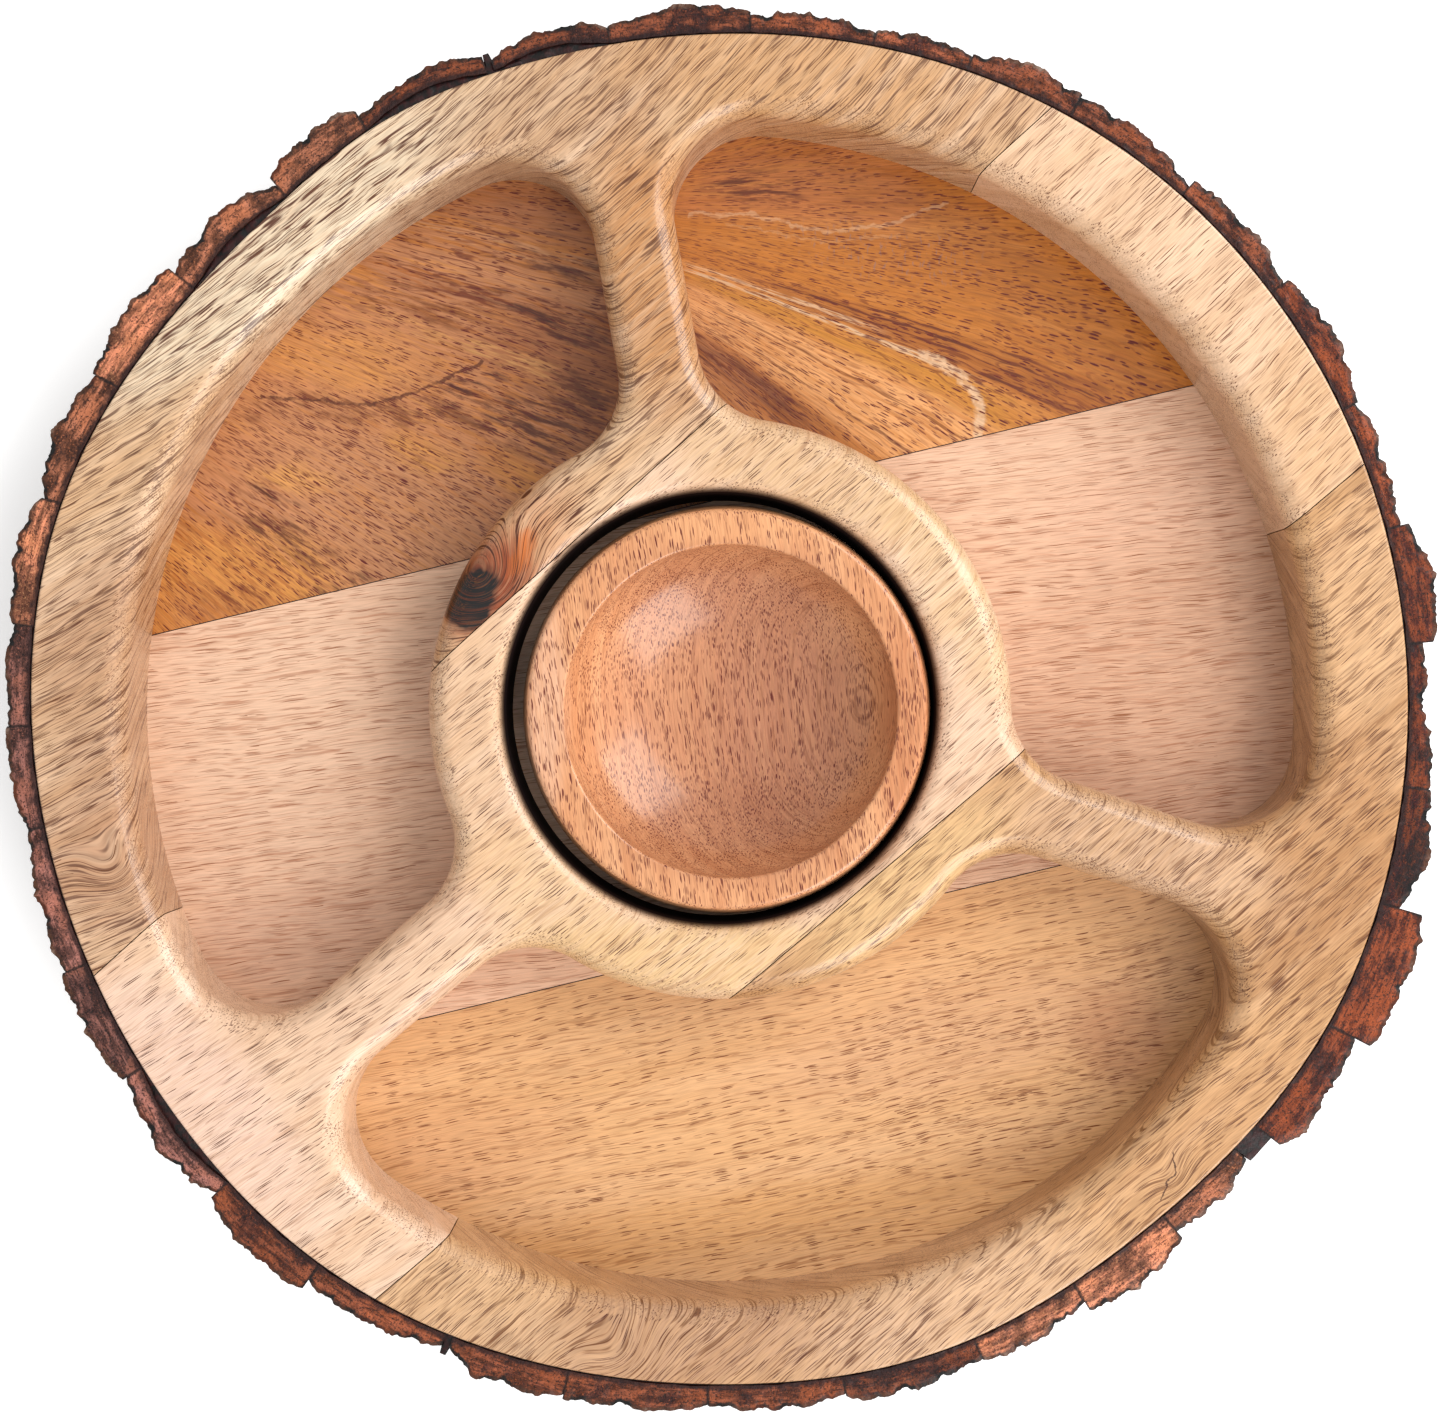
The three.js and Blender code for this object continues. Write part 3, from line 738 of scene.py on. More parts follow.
LOOKS = {
    "frame_board_left": {
        "grain": 38.5, "seed": 1.0, "bend": 0.0007, "light": (250, 214, 180),
        "dark": (222, 178, 138), "broad": (234, 192, 144), "line": (98, 54, 26),
        "pore": (118, 72, 40), "pores": (8.0, 0.2, 0.42), "spacing": 4.0, "lines": 0.75,
        "patchy": 0.4, "ragged": 12.0, "recess": 0.96, "fibre": 0.2, "figure": 3.0,
        "line_sets": [(1.5, 60.0, 1.0), (0.9, 30.0, 1.0)],
        "spots": [
            (-112, 112, 62, 15, 38, (255, 236, 206), 0.85),
            (-150, 8, 32, 16, 80, (202, 156, 122), 0.7),
            (-148, -38, 18, 18, 60, (196, 146, 112), 0.7),
            (-40, 150, 40, 12, 30, (206, 166, 132), 0.5),
            (-16, 108, 34, 13, 100, (212, 150, 94), 0.8),
            (20, 155, 44, 14, -10, (224, 172, 120), 0.7),
            (-54, 36, 24, 14, 58, (214, 152, 108), 0.7),
            (-58, 30, 13, 9, 60, (164, 84, 54), 1.0),
            (-61.2, 27.5, 7.0, 5.0, 66, (40, 18, 26), 2.4),
            (-49.5, 38.5, 6, 2.6, 60, (218, 122, 60), 0.9),
        ],
        "line_spots": [
            (-112, 118, 64, 14, 36, 0.2),
            (-54, 40, 22, 14, 50, 0.5),
        ],
        "knots": [(-58, 31, 12, 16), (-150, -40, 8, 7)],
    },
    "frame_board_middle": {
        "grain": 41.0, "seed": 2.0, "bend": 0.0004, "light": (255, 222, 194),
        "dark": (246, 206, 172), "broad": (250, 212, 178), "line": (156, 100, 62),
        "pore": (98, 54, 20), "pores": (7.0, 0.24, 0.45), "spacing": 8.0, "lines": 0.35,
        "recess": 0.96,
        "spots": [
            (0, -62, 60, 10, 0, (244, 204, 144), 0.7),
            (-40, -50, 30, 12, -40, (244, 204, 152), 0.6),
            (20, 60, 50, 12, -20, (236, 196, 148), 0.7),
            (60, 30, 34, 12, -60, (244, 206, 156), 0.6),
            (-62, 0, 12, 30, 0, (236, 196, 154), 0.5),
            (-80, -68, 30, 12, 40, (244, 206, 174), 0.6),
            (-128, -98, 40, 14, -50, (255, 220, 200), 0.8),
        ],
        "pore_spots": [(-128, -98, 50, 16, -50, 0.8)],
    },
    "frame_board_middle_offcut": {
        "grain": 44.0, "seed": 3.0, "light": (255, 218, 184), "dark": (240, 200, 162),
        "broad": (248, 206, 166), "line": (156, 104, 68), "pore": (114, 64, 26),
        "pores": (8.0, 0.28, 0.5), "spacing": 7.0, "lines": 0.3,
        "spots": [(152, 62, 30, 12, -68, (236, 190, 142), 0.6)],
    },
    "frame_board_right": {
        "grain": 41.0, "seed": 4.0, "light": (238, 192, 146), "dark": (206, 158, 112),
        "broad": (228, 180, 128), "line": (120, 72, 40), "pore": (98, 54, 20),
        "pores": (7.0, 0.23, 0.45), "spacing": 5.0, "lines": 0.6, "patchy": 0.5,
        "recess": 0.96, "fibre": 0.18, "figure": 3.0,
        "spots": [
            (-10, -157, 66, 12, 3, (200, 158, 128), 0.7),
            (-66, -148, 30, 16, -28, (242, 202, 160), 0.6),
            (60, -148, 36, 14, 22, (240, 202, 168), 0.6),
            (152, -38, 34, 16, 75, (196, 144, 98), 0.75),
            (160, 22, 24, 12, 85, (238, 194, 150), 0.7),
            (105, -36, 34, 12, -18, (228, 190, 158), 0.7),
            (120, -103, 34, 14, 48, (222, 172, 124), 0.5),
            (46, -44, 30, 12, 40, (244, 204, 150), 0.8),
        ],
        "line_spots": [(-10, -158, 60, 10, 0, 0.3), (130, -70, 50, 20, 60, 0.2)],
        "knots": [(-24, -160, 9, 6), (112, -116, 5, 2.5)],
        "strokes": [
            (0.3, (74, 44, 32), 0.85, [(112, -110), (113, -114), (110, -118), (109, -122)]),
        ],
    },
    "base_plank_rear": {
        "fans": (-20, REAR_LEFT_FAN, REAR_RIGHT_FAN), "seed": 5.0,
        "light": (228, 154, 82), "dark": (184, 108, 48), "broad": (210, 132, 64),
        "line": (120, 56, 20), "pore": (108, 42, 10), "pores": (3.0, 0.33, 0.6), "spacing": 6.0,
        "run": 90.0, "wave": 1.6, "lines": 0.35, "contrast": 0.17, "patchy": 0.4,
        "streaky": 0.8, "fibre": 0.18, "ragged": 16.0, "tilt": 0.3, "figure": 3.0,
        "line_sets": [(2.6, 34.0, 0.9), (1.4, 18.0, 0.8)],
        "spots": [
            (-80, 72, 90, 60, -20, (206, 142, 100), 1.0),
            (-95, 75, 56, 30, -20, (216, 146, 94), 0.6),
            (-85, 48, 40, 22, -26, (212, 152, 110), 0.75),
            (-100, 90, 20, 7, -10, (232, 160, 88), 0.8),
            (-40, 90, 20, 12, -22, (172, 104, 60), 0.6),
            (-27, 78, 9, 16, 0, (176, 108, 64), 0.6),
            (-110.8, 60.6, 11, 3.2, -6, (236, 170, 98), 0.9),
            (-76, 66, 9, 5, -30, (230, 160, 84), 0.8),
            (-52, 60, 9, 5, -20, (220, 148, 72), 0.8),
            (-122, 36, 24, 11, -8, (230, 158, 80), 0.9),
            (104, 78, 30, 10, -30, (182, 106, 52), 0.5),
        ],
        "smokes": [
            (-95, 77, 30, 3.2, 0, (122, 66, 30), 0.75),
            (-64, 83, 11, 3.4, 26, (80, 40, 22), 0.95),
            (-50, 72, 17, 7, -14, (92, 48, 26), 0.9),
            (-36, 80, 14, 7, -24, (112, 60, 30), 0.8),
            (-78, 104, 20, 6, -14, (132, 74, 38), 0.7),
            (-113, 44, 13, 4.4, -22, (104, 58, 34), 0.85),
            (-115, 56, 9, 2, -14, (90, 50, 28), 0.9),
            (-126, 28, 7, 3, -12, (134, 68, 32), 0.9),
            (-98, 30, 10, 3.4, 8, (112, 74, 48), 0.8),
            (-38, 114, 14, 2.6, -12, (92, 48, 42), 0.85),
            (-45, 100, 17, 3, -15, (72, 36, 26), 0.85),
            (8, 135, 12, 5, -10, (96, 48, 22), 0.85),
            (-28, 132, 14, 5, -8, (138, 80, 52), 0.7),
        ],
        "line_spots": [
            (-48, 106, 34, 12, -14, 0.5), (54, 92, 44, 8, -22, 0.4), (8, 84, 20, 8, -34, 0.4),
        ],
        "pore_spots": [
            (-85, 50, 46, 24, -26, 1.8), (-80, 112, 40, 8, -14, 0.5), (-112, 90, 26, 8, -10, 0.5),
        ],
        "flecks": [(42, 117, 24, 7, -8, (160, 126, 118), 0.6)],
        "strokes": [
            (0.6, (96, 52, 30), 0.8, [(-118, 80), (-100, 79), (-90, 78), (-79, 81), (-61, 89)]),
            (1.9, (244, 202, 162), 0.95, [(52, 91), (58, 88), (63, 84), (67, 78), (66, 68)]),
            (0.7, (236, 188, 146), 0.5, [(-8, 127), (8, 127), (27, 122.5), (45, 124.5), (58, 130)]),
            (0.5, (230, 178, 130), 0.3, [(2, 124.5), (26, 120), (46, 121.5)]),
        ],
    },
    "base_plank_middle": {
        "grain": 7.0, "seed": 6.0, "light": (252, 210, 180), "dark": (242, 196, 164),
        "broad": (248, 204, 172), "line": (172, 100, 58), "pore": (160, 98, 60),
        "pores": (7.5, 0.22, 0.24), "spacing": 4.0, "lines": 0.45,
        "spots": [
            (-114, 4, 24, 40, 0, (253, 214, 184), 0.6),
            (-112, -58, 30, 12, 18, (228, 182, 154), 0.6),
            (116, 0, 40, 50, 0, (228, 178, 146), 0.85),
            (118, 54, 40, 14, 10, (248, 200, 170), 0.7),
            (104, -52, 40, 14, 10, (206, 152, 120), 0.6),
        ],
        "pore_spots": [(115, 0, 60, 60, 0, 1.3)],
    },
    "base_plank_front": {
        "grain": 12.0, "seed": 7.0, "light": (248, 196, 144), "dark": (238, 184, 130),
        "broad": (244, 190, 134), "line": (156, 94, 50), "pore": (132, 72, 32),
        "pores": (4.4, 0.3, 0.26), "spacing": 9.0, "lines": 0.45,
        "spots": [
            (60, -84, 50, 14, 14, (232, 180, 138), 0.6),
            (-64, -112, 26, 12, 10, (232, 174, 126), 0.5),
            (10, -132, 70, 9, 6, (240, 180, 114), 0.6),
            (104, -84, 12, 14, 60, (206, 146, 104), 0.7),
        ],
        "pore_spots": [(76, -88, 50, 24, 14, 2.2)],
    },
    "dip_bowl": {
        "grain": 97.0, "seed": 8.0, "light": (248, 186, 138), "dark": (228, 160, 114),
        "broad": (238, 170, 122), "line": (136, 72, 40), "pore": (112, 44, 12),
        "pores": (3.2, 0.32, 0.75), "spacing": 6.0, "lines": 0.35, "tilt": 1.2, "ragged": 5.0,
        "spots": [
            (3, -2, 32, 34, 0, (214, 150, 114), 0.75),
            # Painted shade: the right side of the inside, which faces away from the lights, is darker.
            (16, -4, 18, 30, 0, (196, 134, 108), 0.5),
            (2, -30, 24, 12, 0, (190, 126, 92), 0.6),
            (2, 29, 24, 10, 0, (202, 138, 104), 0.6),
            (47, -2, 6, 34, 0, (216, 142, 98), 0.8),
            (2, 47, 34, 6, 0, (252, 186, 134), 0.7),
            (-43, 0, 5, 26, 0, (250, 198, 164), 0.8),
        ],
    },
}


# ---- Pieces of the tray ----


def darkening(name):
    """Painted shade on the wall of the bowl's recess: a dull, near-black brown."""
    graph = Graph(name)
    lumps = graph.vector("DIVIDE", graph.position(), (4, 4, 10))
    cloud = graph.noise(lumps, 3.0).outputs[0]
    colour = graph.mix(cloud, tint((24, 8, 6)), tint((52, 24, 16)))
    shader = graph.node(
        "ShaderNodeBsdfPrincipled",
        {"Base Color": colour, "Roughness": 0.85, "IOR": 1.25},
    )
    return graph.finish(shader)


def shade_recess_wall(piece):
    """Gives the recess's wall, up to where its edge turns over, the dark painted shade."""
    mesh = piece.data
    mesh.materials.append(darkening(f"{piece.name}_recess"))
    for face in mesh.polygons:
        centre = face.center / MM
        if centre.xy.length < RECESS_RADIUS + 0.45 and BASE_TOP < centre.z < TOP:
            face.material_index = 1


def add_tray_boards():
    panel = frame_panel()
    middle = [(SEAM_LEFT, -1), (SEAM_RIGHT, 1)]
    across = ((SEAM_LEFT[0] + SEAM_RIGHT[0]) / 2 - 90, OFFCUT_DISTANCE)
    cuts = {
        "frame_board_left": [(SEAM_LEFT, 1)],
        "frame_board_middle": middle + [(across, -1)],
        "frame_board_middle_offcut": middle + [(across, 1)],
        "frame_board_right": [(SEAM_RIGHT, -1)],
    }
    base = base_panel()
    base_cuts = {
        "base_plank_rear": [(SEAM_REAR, 1)],
        "base_plank_middle": [(SEAM_REAR, -1), (SEAM_FRONT, 1)],
        "base_plank_front": [(SEAM_FRONT, -1)],
    }
    for whole, table in ((panel, cuts), (base, base_cuts)):
        for node, seams in table.items():
            material = wood(f"wood_{node}", LOOKS[node])
            piece = finish_mesh(sawn(whole, seams), f"wood_{node}", material)
            if "recess" in LOOKS[node]:
                shade_recess_wall(piece)
            place(piece, "tray", slot_of(node), node)
        whole.free()


def add_seam_glue():
    """The glue between the base's planks, a hair below their top."""
    for side, (angle, distance) in (("rear", SEAM_REAR), ("front", SEAM_FRONT)):
        half = math.sqrt((DISC_RADIUS - 4) ** 2 - distance ** 2)
        turn, thick = math.radians(angle), GLUE_LINE / 2 - 0.01
        along = Vector((math.cos(turn), math.sin(turn)))
        across = Vector((-along.y, along.x))
        corners = [(-half, -thick), (half, -thick), (half, thick), (-half, thick)]
        outline = [along * a + across * (distance + b) for a, b in corners]
        bm = bmesh.new()
        rings = [add_ring(bm, outline, z) for z in (0.6, BASE_TOP - 0.1)]
        loft(bm, rings)
        bm.faces.new(rings[0])
        bm.faces.new(rings[1])
        place(finish_mesh(bm, f"seam_glue_{side}", glue(f"seam_glue_{side}")), "tray",
              "bark_dark")


# ---- Bowl ----


def add_bowl():
    rest, rim = BOWL_LOW.z, BOWL_HIGH.z
    points = 256
    bm = bmesh.new()
    outside = [(BOWL_FOOT_RADIUS - 1.2, rest), (BOWL_FOOT_RADIUS - 0.6, rest)]
    for sine, rise in quarter(24):
        if sine > 0:
            radius = BOWL_FOOT_RADIUS + (BELLY_RADIUS - BOWL_FOOT_RADIUS) * sine
            outside.append((radius, rest + BOWL_BELLY_HEIGHT * rise))
    straight = rim - BOWL_RIM_ROUNDING
    for sine, rise in quarter(8):
        radius = BOWL_RIM_RADIUS - BOWL_RIM_ROUNDING * rise
        outside.append((radius, straight + BOWL_RIM_ROUNDING * sine))
    outside.append((BOWL_RIM_RADIUS - BOWL_RIM_ROUNDING - 0.3, rim))
    rings = [add_ring(bm, circle(r, points, BOWL_X, BOWL_Y), z) for r, z in outside]
    # The mouth's centre is a little off the bowl's own.
    mouth_x, mouth_y = BOWL_X + BOWL_MOUTH_SHIFT[0], BOWL_Y + BOWL_MOUTH_SHIFT[1]
    inside = [(BOWL_MOUTH_RADIUS + BOWL_MOUTH_ROUNDING + 0.3, rim)]
    for sine, rise in quarter(6):
        radius = BOWL_MOUTH_RADIUS + BOWL_MOUTH_ROUNDING * (1 - sine)
        inside.append((radius, rim - BOWL_MOUTH_ROUNDING * rise))
    depth = BOWL_DEPTH - BOWL_MOUTH_ROUNDING
    for sine, rise in quarter(40)[1:]:
        radius = BOWL_FLAT + (BOWL_MOUTH_RADIUS - BOWL_FLAT) * (1 - rise)
        inside.append((radius, rim - BOWL_MOUTH_ROUNDING - depth * sine))
    floor = rim - BOWL_DEPTH
    inside += [(BOWL_FLAT * 0.66, floor), (BOWL_FLAT * 0.33, floor)]
    rings += [add_ring(bm, circle(r, points, mouth_x, mouth_y), z) for r, z in inside]
    loft(bm, rings)
    for ring in (rings[0], rings[-1]):
        bm.faces.new(ring)
    piece = finish_mesh(bm, "turned_bowl", wood("wood_dip_bowl", LOOKS["dip_bowl"]), 50.0)
    place(piece, "bowl", slot_of("dip_bowl"), "dip_bowl")


# ---- Bark ----

# How finely a strip is divided along the edge, outwards and upwards.
STEPS_ALONG, STEPS_DEEP, STEPS_UP = 72, 12, 34
THINNEST = 1.5
# Neighbours no further apart than the widest closed gap are drawn together. The crack left
# between them is below nothing: they overlap by a hair, so that no light shows through.
CRACK = -0.12
WIDEST_CLOSED_GAP = 1.6
GLUE_POINTS = 1440
# How thick the glue is where no strip stands.
WEDGE = 5.0

# Tones of the strips' sawn tops, and the direction where each tone's stretch of edge ends.
DARK_RED = (122, 64, 42)
RED_BROWN = (136, 78, 56)
ORANGE = (186, 120, 92)
GREY_BROWN = (138, 94, 86)
BARK_TONES = [
    (35, DARK_RED), (120, RED_BROWN), (176, ORANGE), (224, GREY_BROWN), (290, RED_BROWN),
    (325, ORANGE), (360, DARK_RED),
]
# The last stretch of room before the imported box's side, where the bark's bumps flatten out.
SQUEEZE = 1.2


def bark_tone(steps, number):
    """A strip's own colour: its stretch's tone, a little lighter or darker."""
    middle = math.degrees(steps[0][0] + steps[-1][0]) / 2 % 360
    tone = next(rgb for end, rgb in BARK_TONES if middle < end)
    factor = 1 + 0.3 * noise.noise(Vector((number * 3.7, 0.5, 0.2)))
    return [min(255, channel * factor) for channel in tone]


def reach_of_box(angle):
    """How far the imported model's box reaches from the middle in a direction."""
    way = polar(1.0, angle)
    sides = [
        corner[axis] / MM / way[axis]
        for corner in cad_box for axis in (0, 1) if abs(way[axis]) > 0.01
    ]
    return min(side for side in sides if side > 0)


def strip_profile(node):
    """(angle, back radius, face radius) at each step across a strip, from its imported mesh."""
    top = {}
    for vertex in frame["nodes"][node].data.vertices:
        point = vertex.co / MM
        if abs(point.z - TOP) < 0.01:
            angle = math.atan2(point.y, point.x) % (2 * math.pi)
            top.setdefault(round(angle, 4), []).append(point.xy.length)
    angles = sorted(top)
    if angles[-1] - angles[0] > math.pi:
        angles = [a for a in angles if a > math.pi] + [a + 2 * math.pi for a in angles
                                                      if a <= math.pi]
    steps = []
    for angle in angles:
        radii = top.get(round(angle, 4)) or top[round(angle - 2 * math.pi, 4)]
        steps.append((angle, min(radii), max(radii)))
    return steps


def lerp_profile(steps, fraction):
    place_on = fraction * (len(steps) - 1)
    low = min(int(place_on), len(steps) - 2)
    part = place_on - low
    return [a + (b - a) * part for a, b in zip(steps[low], steps[low + 1])]


def close_gaps(profiles):
    """The strips' ends drawn out so that neighbours butt against each other."""
    turn = 2 * math.pi
    closed = [[list(step) for step in steps] for steps in profiles]
    for here, (steps, following) in enumerate(zip(profiles, profiles[1:] + profiles[:1])):
        gap = (following[0][0] - steps[-1][0] + math.pi) % turn - math.pi
        if gap * DISC_RADIUS < WIDEST_CLOSED_GAP:
            stretch = gap / 2 - CRACK / 2 / DISC_RADIUS
            closed[here][-1][0] += stretch
            closed[(here + 1) % len(profiles)][0][0] -= stretch
    return closed


def bark_strip(steps, number):
    """One strip as a closed, finely divided block whose outer face is furrowed up and down."""
    seed = Vector((number * 17.3, number * 5.1, number * 9.7))
    bm = bmesh.new()
    layer = bm.verts.layers.float_vector.new("bark")
    relief = bm.verts.layers.float_vector.new("relief")
    made = {}

    def point(i, j, k):
        """The vertex at step i across, j outwards and k up, made when it is first asked for."""
        if (i, j, k) in made:
            return made[i, j, k]
        across, out, up = i / STEPS_ALONG, j / STEPS_DEEP, k / STEPS_UP
        angle, back, face = lerp_profile(steps, across)
        arc_length = angle * DISC_RADIUS
        z = up * TOP
        place_at = Vector((arc_length, 0, z)) + seed
        furrow = noise.fractal(Vector((place_at.x / 3.2, 0.3, place_at.z / 26)), 0.9, 2.1, 4)
        plate = noise.fractal(Vector((place_at.x / 8.0, 4.3, place_at.z / 14)), 1.0, 2.0, 3)
        grit = noise.noise(place_at / 0.9)
        rough = 1.3 * furrow + 0.9 * plate + 0.25 * grit - 0.3
        ends = min(1.0, 8 * min(across, 1 - across))
        thickness = (face - back + rough * (0.4 + 0.6 * ends)) * (0.9 + 0.1 * ends ** 0.5)
        room = reach_of_box(angle) - back
        over = (thickness - room) / SQUEEZE + 1
        if over > 0:
            thickness = room - SQUEEZE * math.exp(-over)
        radius = back + max(thickness, THINNEST) * out
        if j == 0:
            radius += 0.45 * abs(noise.noise(place_at / 5.0))
        height = z
        if k == STEPS_UP:
            worn = noise.fractal(Vector((place_at.x / 2.0, out * 3, number)), 1.0, 2.0, 3)
            height = TOP - 0.4 - 0.2 * worn - 0.6 * max(0, out - 0.75) * 4 * (0.5 + furrow)
        elif k == 0:
            height = 0.25 + 0.2 * noise.noise(place_at / 3.0)
        x, y = polar(radius, angle)
        vertex = bm.verts.new((x * MM, y * MM, height * MM))
        thick = max(thickness, THINNEST)
        vertex[layer] = Vector((arc_length, (1 - out) * thick, out * thick))
        from_end = min(across, 1 - across) * (steps[-1][0] - steps[0][0]) * DISC_RADIUS
        vertex[relief] = Vector((rough, from_end, 0))
        made[i, j, k] = vertex
        return vertex

    def sheet(across, up, corner):
        for a in range(across):
            for b in range(up):
                corners = (corner(a, b), corner(a + 1, b), corner(a + 1, b + 1), corner(a, b + 1))
                bm.faces.new(corners)

    for j in (0, STEPS_DEEP):
        sheet(STEPS_ALONG, STEPS_UP, lambda a, b, j=j: point(a, j, b))
    for i in (0, STEPS_ALONG):
        sheet(STEPS_DEEP, STEPS_UP, lambda a, b, i=i: point(i, a, b))
    for k in (0, STEPS_UP):
        sheet(STEPS_ALONG, STEPS_DEEP, lambda a, b, k=k: point(a, b, k))
    return bm


def bark(name, top, number):
    """A strip's material. Its "bark" attribute holds the distance along the strip, the depth
    under the rough face, and the height above the strip's back. Its "relief" attribute holds how
    far the rough face stands out, and the distance from the strip's nearer end."""
    graph = Graph(name)
    position = graph.position()
    local = graph.node("ShaderNodeAttribute", {}, attribute_name="bark").outputs["Vector"]
    along, depth, above = graph.split(local)
    relief = graph.node("ShaderNodeAttribute", {}, attribute_name="relief").outputs["Vector"]
    raised, from_end = graph.split(relief)[:2]
    up = graph.split(position)[2]

    def shade(factor, warmth=0):
        shaded = [min(255, factor * c + w * warmth) for c, w in zip(top, (1.0, 0.4, 0))]
        return tint(shaded)

    def streaks(run, spacing, detail):
        """Noise drawn out along the strip's layers."""
        strip = graph.join(
            graph.math("ADD", graph.math("DIVIDE", along, run), number * 3.7),
            graph.math("DIVIDE", above, spacing),
            graph.math("DIVIDE", up, 8.0),
        )
        return graph.noise(strip, detail, 0.6, distortion=0.3).outputs[0]

    layered = streaks(7.0, 1.5, 4.0)
    speck = graph.noise(graph.vector("DIVIDE", position, (0.5, 0.5, 1.6)), 2.0, 0.7).outputs[0]
    warm = graph.noise(graph.vector("DIVIDE", position, (8, 8, 14)), 2.0, 0.5).outputs[0]
    colour = graph.mix(graph.step(layered, 0.4, 0.62), shade(0.68), shade(1.2))
    colour = graph.mix(
        graph.math("MULTIPLY", graph.step(warm, 0.48, 0.66), 0.6), colour, shade(1.12, 26)
    )
    colour = graph.mix(
        graph.math("MULTIPLY", graph.step(warm, 0.47, 0.34), 0.8), colour, shade(0.45)
    )
    thin = graph.step(streaks(4.5, 0.55, 2.0), 0.45, 0.33, 0.0, 0.75)
    colour = graph.mix(thin, colour, shade(0.42))
    colour = graph.mix(graph.step(speck, 0.48, 0.36, 0.0, 0.85), colour, shade(0.3))
    colour = graph.mix(graph.step(speck, 0.6, 0.7, 0.0, 0.5), colour, shade(1.3, 30))
    # Dark crust at the rough face, darker in its furrows, with painted highlights of light grey glints on
    # its highest ridges; and a back that is darker next to the disc.
    ragged = graph.noise(graph.vector("DIVIDE", position, (2.2, 2.2, 6)), 3.0, 0.6).outputs[0]
    edge = graph.math("SUBTRACT", depth, graph.math("MULTIPLY", ragged, 2.2))
    flake = graph.noise(graph.vector("DIVIDE", position, (1.3, 1.3, 9)), 4.0, 0.65).outputs[0]
    raised = graph.math("ADD", raised, graph.math("MULTIPLY", flake, 3.0))
    crust = graph.mix(graph.step(raised, 0.6, 1.9), tint((36, 20, 16)), tint((98, 66, 52)))
    # Painted highlight: light grey glints where the crust stands out most.
    crust = graph.mix(graph.step(raised, 1.8, 2.8, 0.0, 0.8), crust, tint((150, 126, 112)))
    crust = graph.mix(graph.step(warm, 0.5, 0.66, 0.0, 0.5), crust, tint((120, 62, 42)))
    colour = graph.mix(graph.step(edge, 0.25, -0.5), colour, crust)
    joint = graph.math("SUBTRACT", from_end, graph.math("MULTIPLY", ragged, 0.7))
    colour = graph.mix(graph.step(joint, 0.25, -0.15, 0.0, 0.85), colour, tint((40, 22, 20)))
    # Darker near the strip's back, next to the disc.
    darkening = graph.math("SUBTRACT", above, graph.math("MULTIPLY", ragged, 2.8))
    colour = graph.mix(graph.step(darkening, 0.5, -0.9, 0.0, 0.9), colour, tint((52, 30, 28)))
    height = graph.math("ADD", speck, graph.math("MULTIPLY", ragged, 1.5))
    bump = graph.bump(height, 0.8, 0.5)
    shader = graph.node(
        "ShaderNodeBsdfPrincipled",
        {"Base Color": colour, "Roughness": 0.6, "Normal": bump, "IOR": 1.3,
         "Coat Weight": 0.15, "Coat Roughness": 0.25},
    )
    return graph.finish(shader)


def glue(name):
    """Dark, slightly glossy glue, with dust in it."""
    graph = Graph(name)
    position = graph.position()
    lumps = graph.noise(graph.vector("DIVIDE", position, (1.6, 1.6, 3)), 3.0, 0.6).outputs[0]
    colour = graph.mix(graph.step(lumps, 0.35, 0.7), tint((34, 18, 14)), tint((66, 38, 30)))
    bump = graph.bump(lumps, 0.6, 0.6)
    shader = graph.node(
        "ShaderNodeBsdfPrincipled",
        {"Base Color": colour, "Roughness": 0.5, "Normal": bump, "IOR": 1.4},
    )
    return graph.finish(shader)


def add_glue(profiles):
    """The glue between the disc and the bark, as thick as the space behind each strip."""
    def back_at(angle):
        for steps in profiles:
            for turn in (angle, angle + 2 * math.pi):
                if steps[0][0] <= turn <= steps[-1][0]:
                    fraction = (turn - steps[0][0]) / (steps[-1][0] - steps[0][0])
                    return lerp_profile(steps, fraction)[1]
        return disc_radius(angle) + WEDGE

    bm = bmesh.new()
    rings = []
    for out, z in ((0, 1.0), (1, 1.0), (1, TOP - 1.3), (0.5, TOP - 0.9), (0, TOP - 1.0)):
        ring = []
        for i in range(GLUE_POINTS):
            turn = 2 * math.pi * i / GLUE_POINTS
            inner = disc_radius(turn) + 0.02
            outer = max(back_at(turn) + 0.35, inner + 0.4)
            height = z
            if z > 1.0:
                height += 0.35 * noise.noise(Vector((turn * DISC_RADIUS / 2.5, out, 3.1)))
            x, y = polar(inner + (outer - inner) * out, turn)
            ring.append(bm.verts.new((x * MM, y * MM, height * MM)))
        rings.append(ring)
    loft(bm, rings + rings[:1])
    place(finish_mesh(bm, "bark_glue", glue("bark_glue")), "tray", "bark_dark")


def add_bark():
    profiles = close_gaps([strip_profile(node) for node in STRIP_NAMES])
    for number, (node, steps) in enumerate(zip(STRIP_NAMES, profiles), 1):
        material = bark(f"bark_{number:02d}", bark_tone(steps, number), number)
        piece = finish_mesh(bark_strip(steps, number), f"rough_{node}", material, 60.0)
        place(piece, "tray", slot_of(node), node)
    add_glue(profiles)


# ---- Stage ----

# Camera distance above the tray's top, and the width of view there.
CAMERA_DISTANCE = 640.0
VIEW_WIDTH = 357.2
CAMERA_X, CAMERA_Y = 0.6, -0.4
SENSOR = 36.0
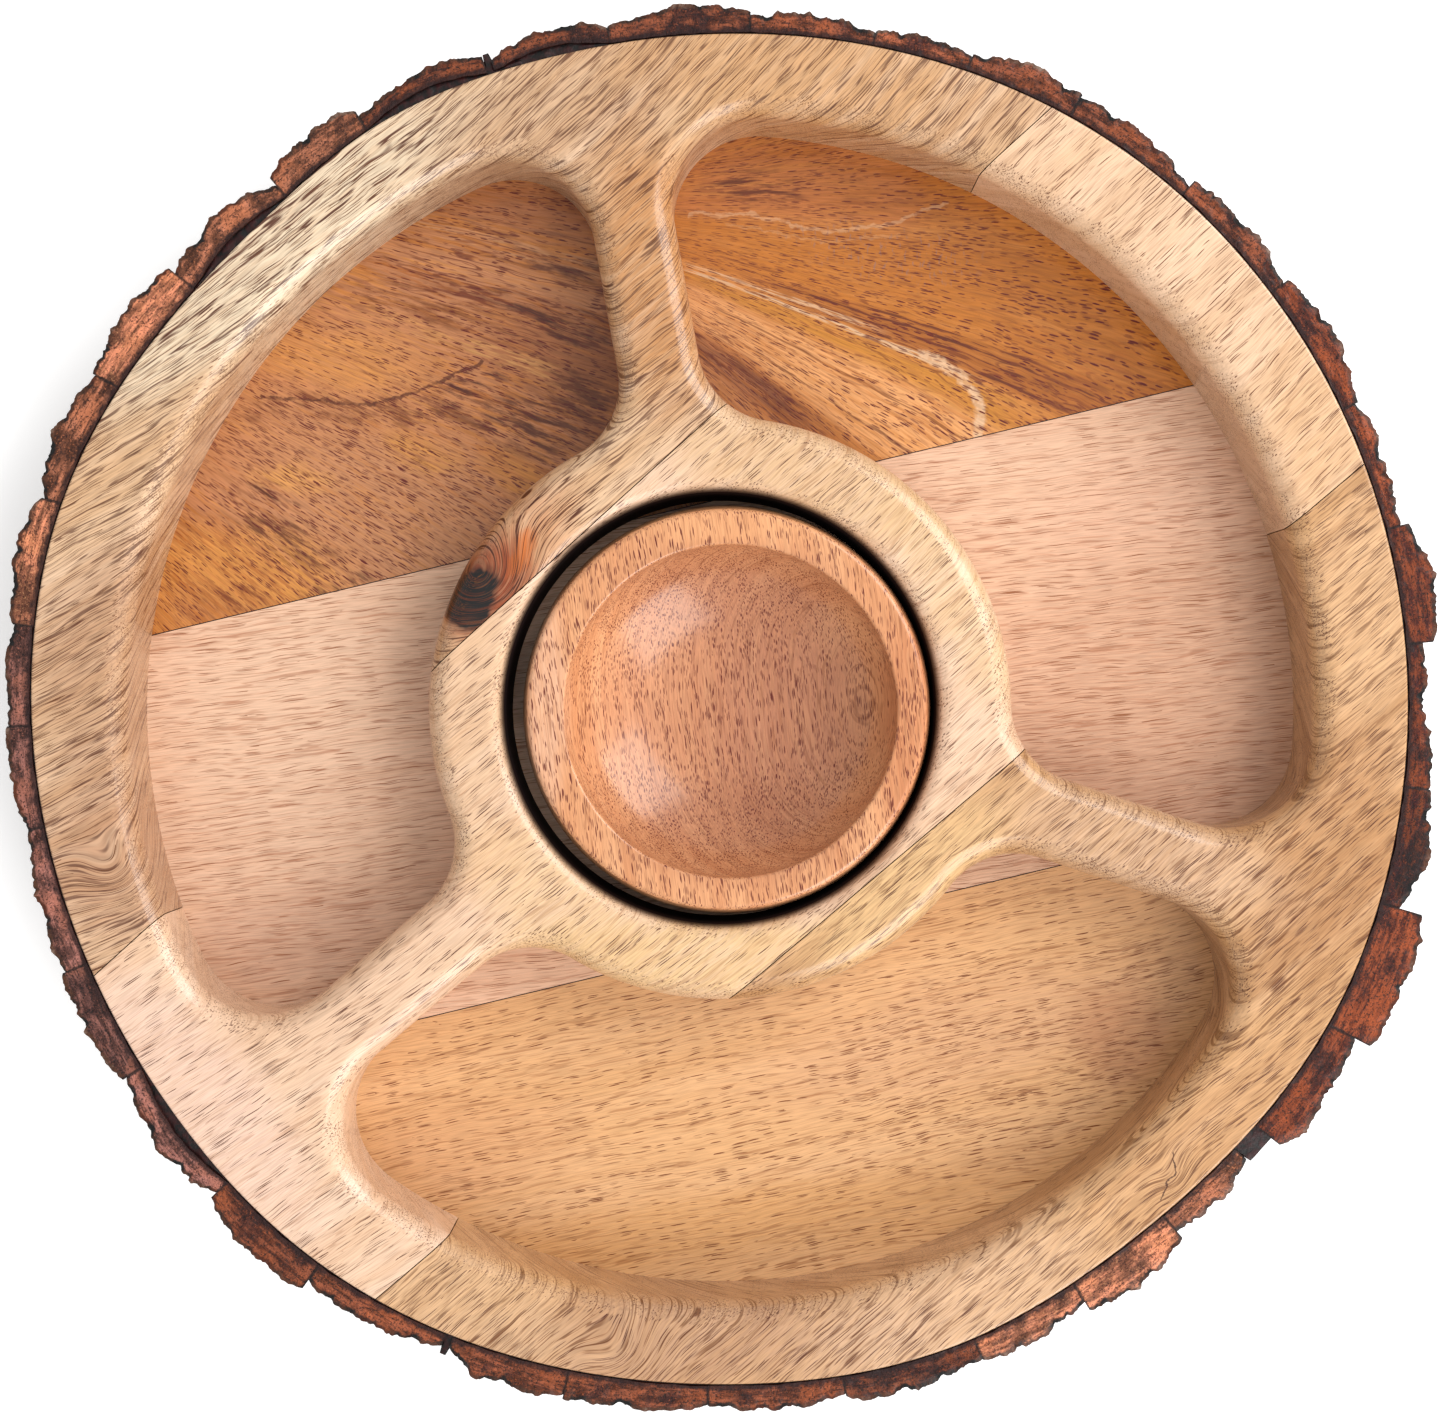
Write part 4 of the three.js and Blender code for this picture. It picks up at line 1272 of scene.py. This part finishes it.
# Two softboxes, each at its direction. Their distance, size and the floor's size are in metres.
SOFTBOXES = {"key_rear_right": 35, "key_front_right": -52}
SOFTBOX_ELEVATION = 37
SOFTBOX_DISTANCE = 1.8
SOFTBOX_SIZE = (1.0, 1.5)
SOFTBOX_POWER = 27.0
FLOOR_SIZE = 12.0
FLOOR_GLOW = 0.3
SKY_STRENGTH = 0.75


def add_camera():
    camera = bpy.data.cameras.new("camera")
    camera.sensor_width = SENSOR
    camera.lens = SENSOR * CAMERA_DISTANCE / VIEW_WIDTH
    thing = bpy.data.objects.new("camera", camera)
    thing.location = (CAMERA_X * MM, CAMERA_Y * MM, (TOP + CAMERA_DISTANCE) * MM)
    bpy.context.collection.objects.link(thing)
    bpy.context.scene.camera = thing


def add_softbox(name, azimuth):
    light = bpy.data.lights.new(name, "AREA")
    light.shape = "RECTANGLE"
    light.size, light.size_y = SOFTBOX_SIZE
    light.energy = SOFTBOX_POWER
    thing = bpy.data.objects.new(name, light)
    a, e = math.radians(azimuth), math.radians(SOFTBOX_ELEVATION)
    way = Vector((math.cos(a) * math.cos(e), math.sin(a) * math.cos(e), math.sin(e)))
    thing.location = way * SOFTBOX_DISTANCE
    thing.rotation_mode = "QUATERNION"
    thing.rotation_quaternion = way.to_track_quat("Z", "Y")
    bpy.context.collection.objects.link(thing)


def add_stage():
    graph = Graph("pale_floor")
    shader = graph.node(
        "ShaderNodeBsdfPrincipled",
        {"Base Color": (0.92, 0.92, 0.92, 1), "Roughness": 0.9,
         "Emission Color": (1, 1, 1, 1), "Emission Strength": FLOOR_GLOW},
    )
    bm = bmesh.new()
    bmesh.ops.create_grid(bm, x_segments=1, y_segments=1, size=FLOOR_SIZE)
    floor = finish_mesh(bm, "floor", graph.finish(shader))
    world = bpy.data.worlds.new("soft_light")
    world.use_nodes = True
    background = world.node_tree.nodes["Background"]
    background.inputs["Color"].default_value = (1.0, 0.99, 0.98, 1)
    background.inputs["Strength"].default_value = SKY_STRENGTH
    bpy.context.scene.world = world
    for name, azimuth in SOFTBOXES.items():
        add_softbox(name, azimuth)
    bpy.context.scene.view_settings.view_transform = "Standard"


add_tray_boards()
add_seam_glue()
add_bowl()
add_bark()
add_stage()
add_camera()
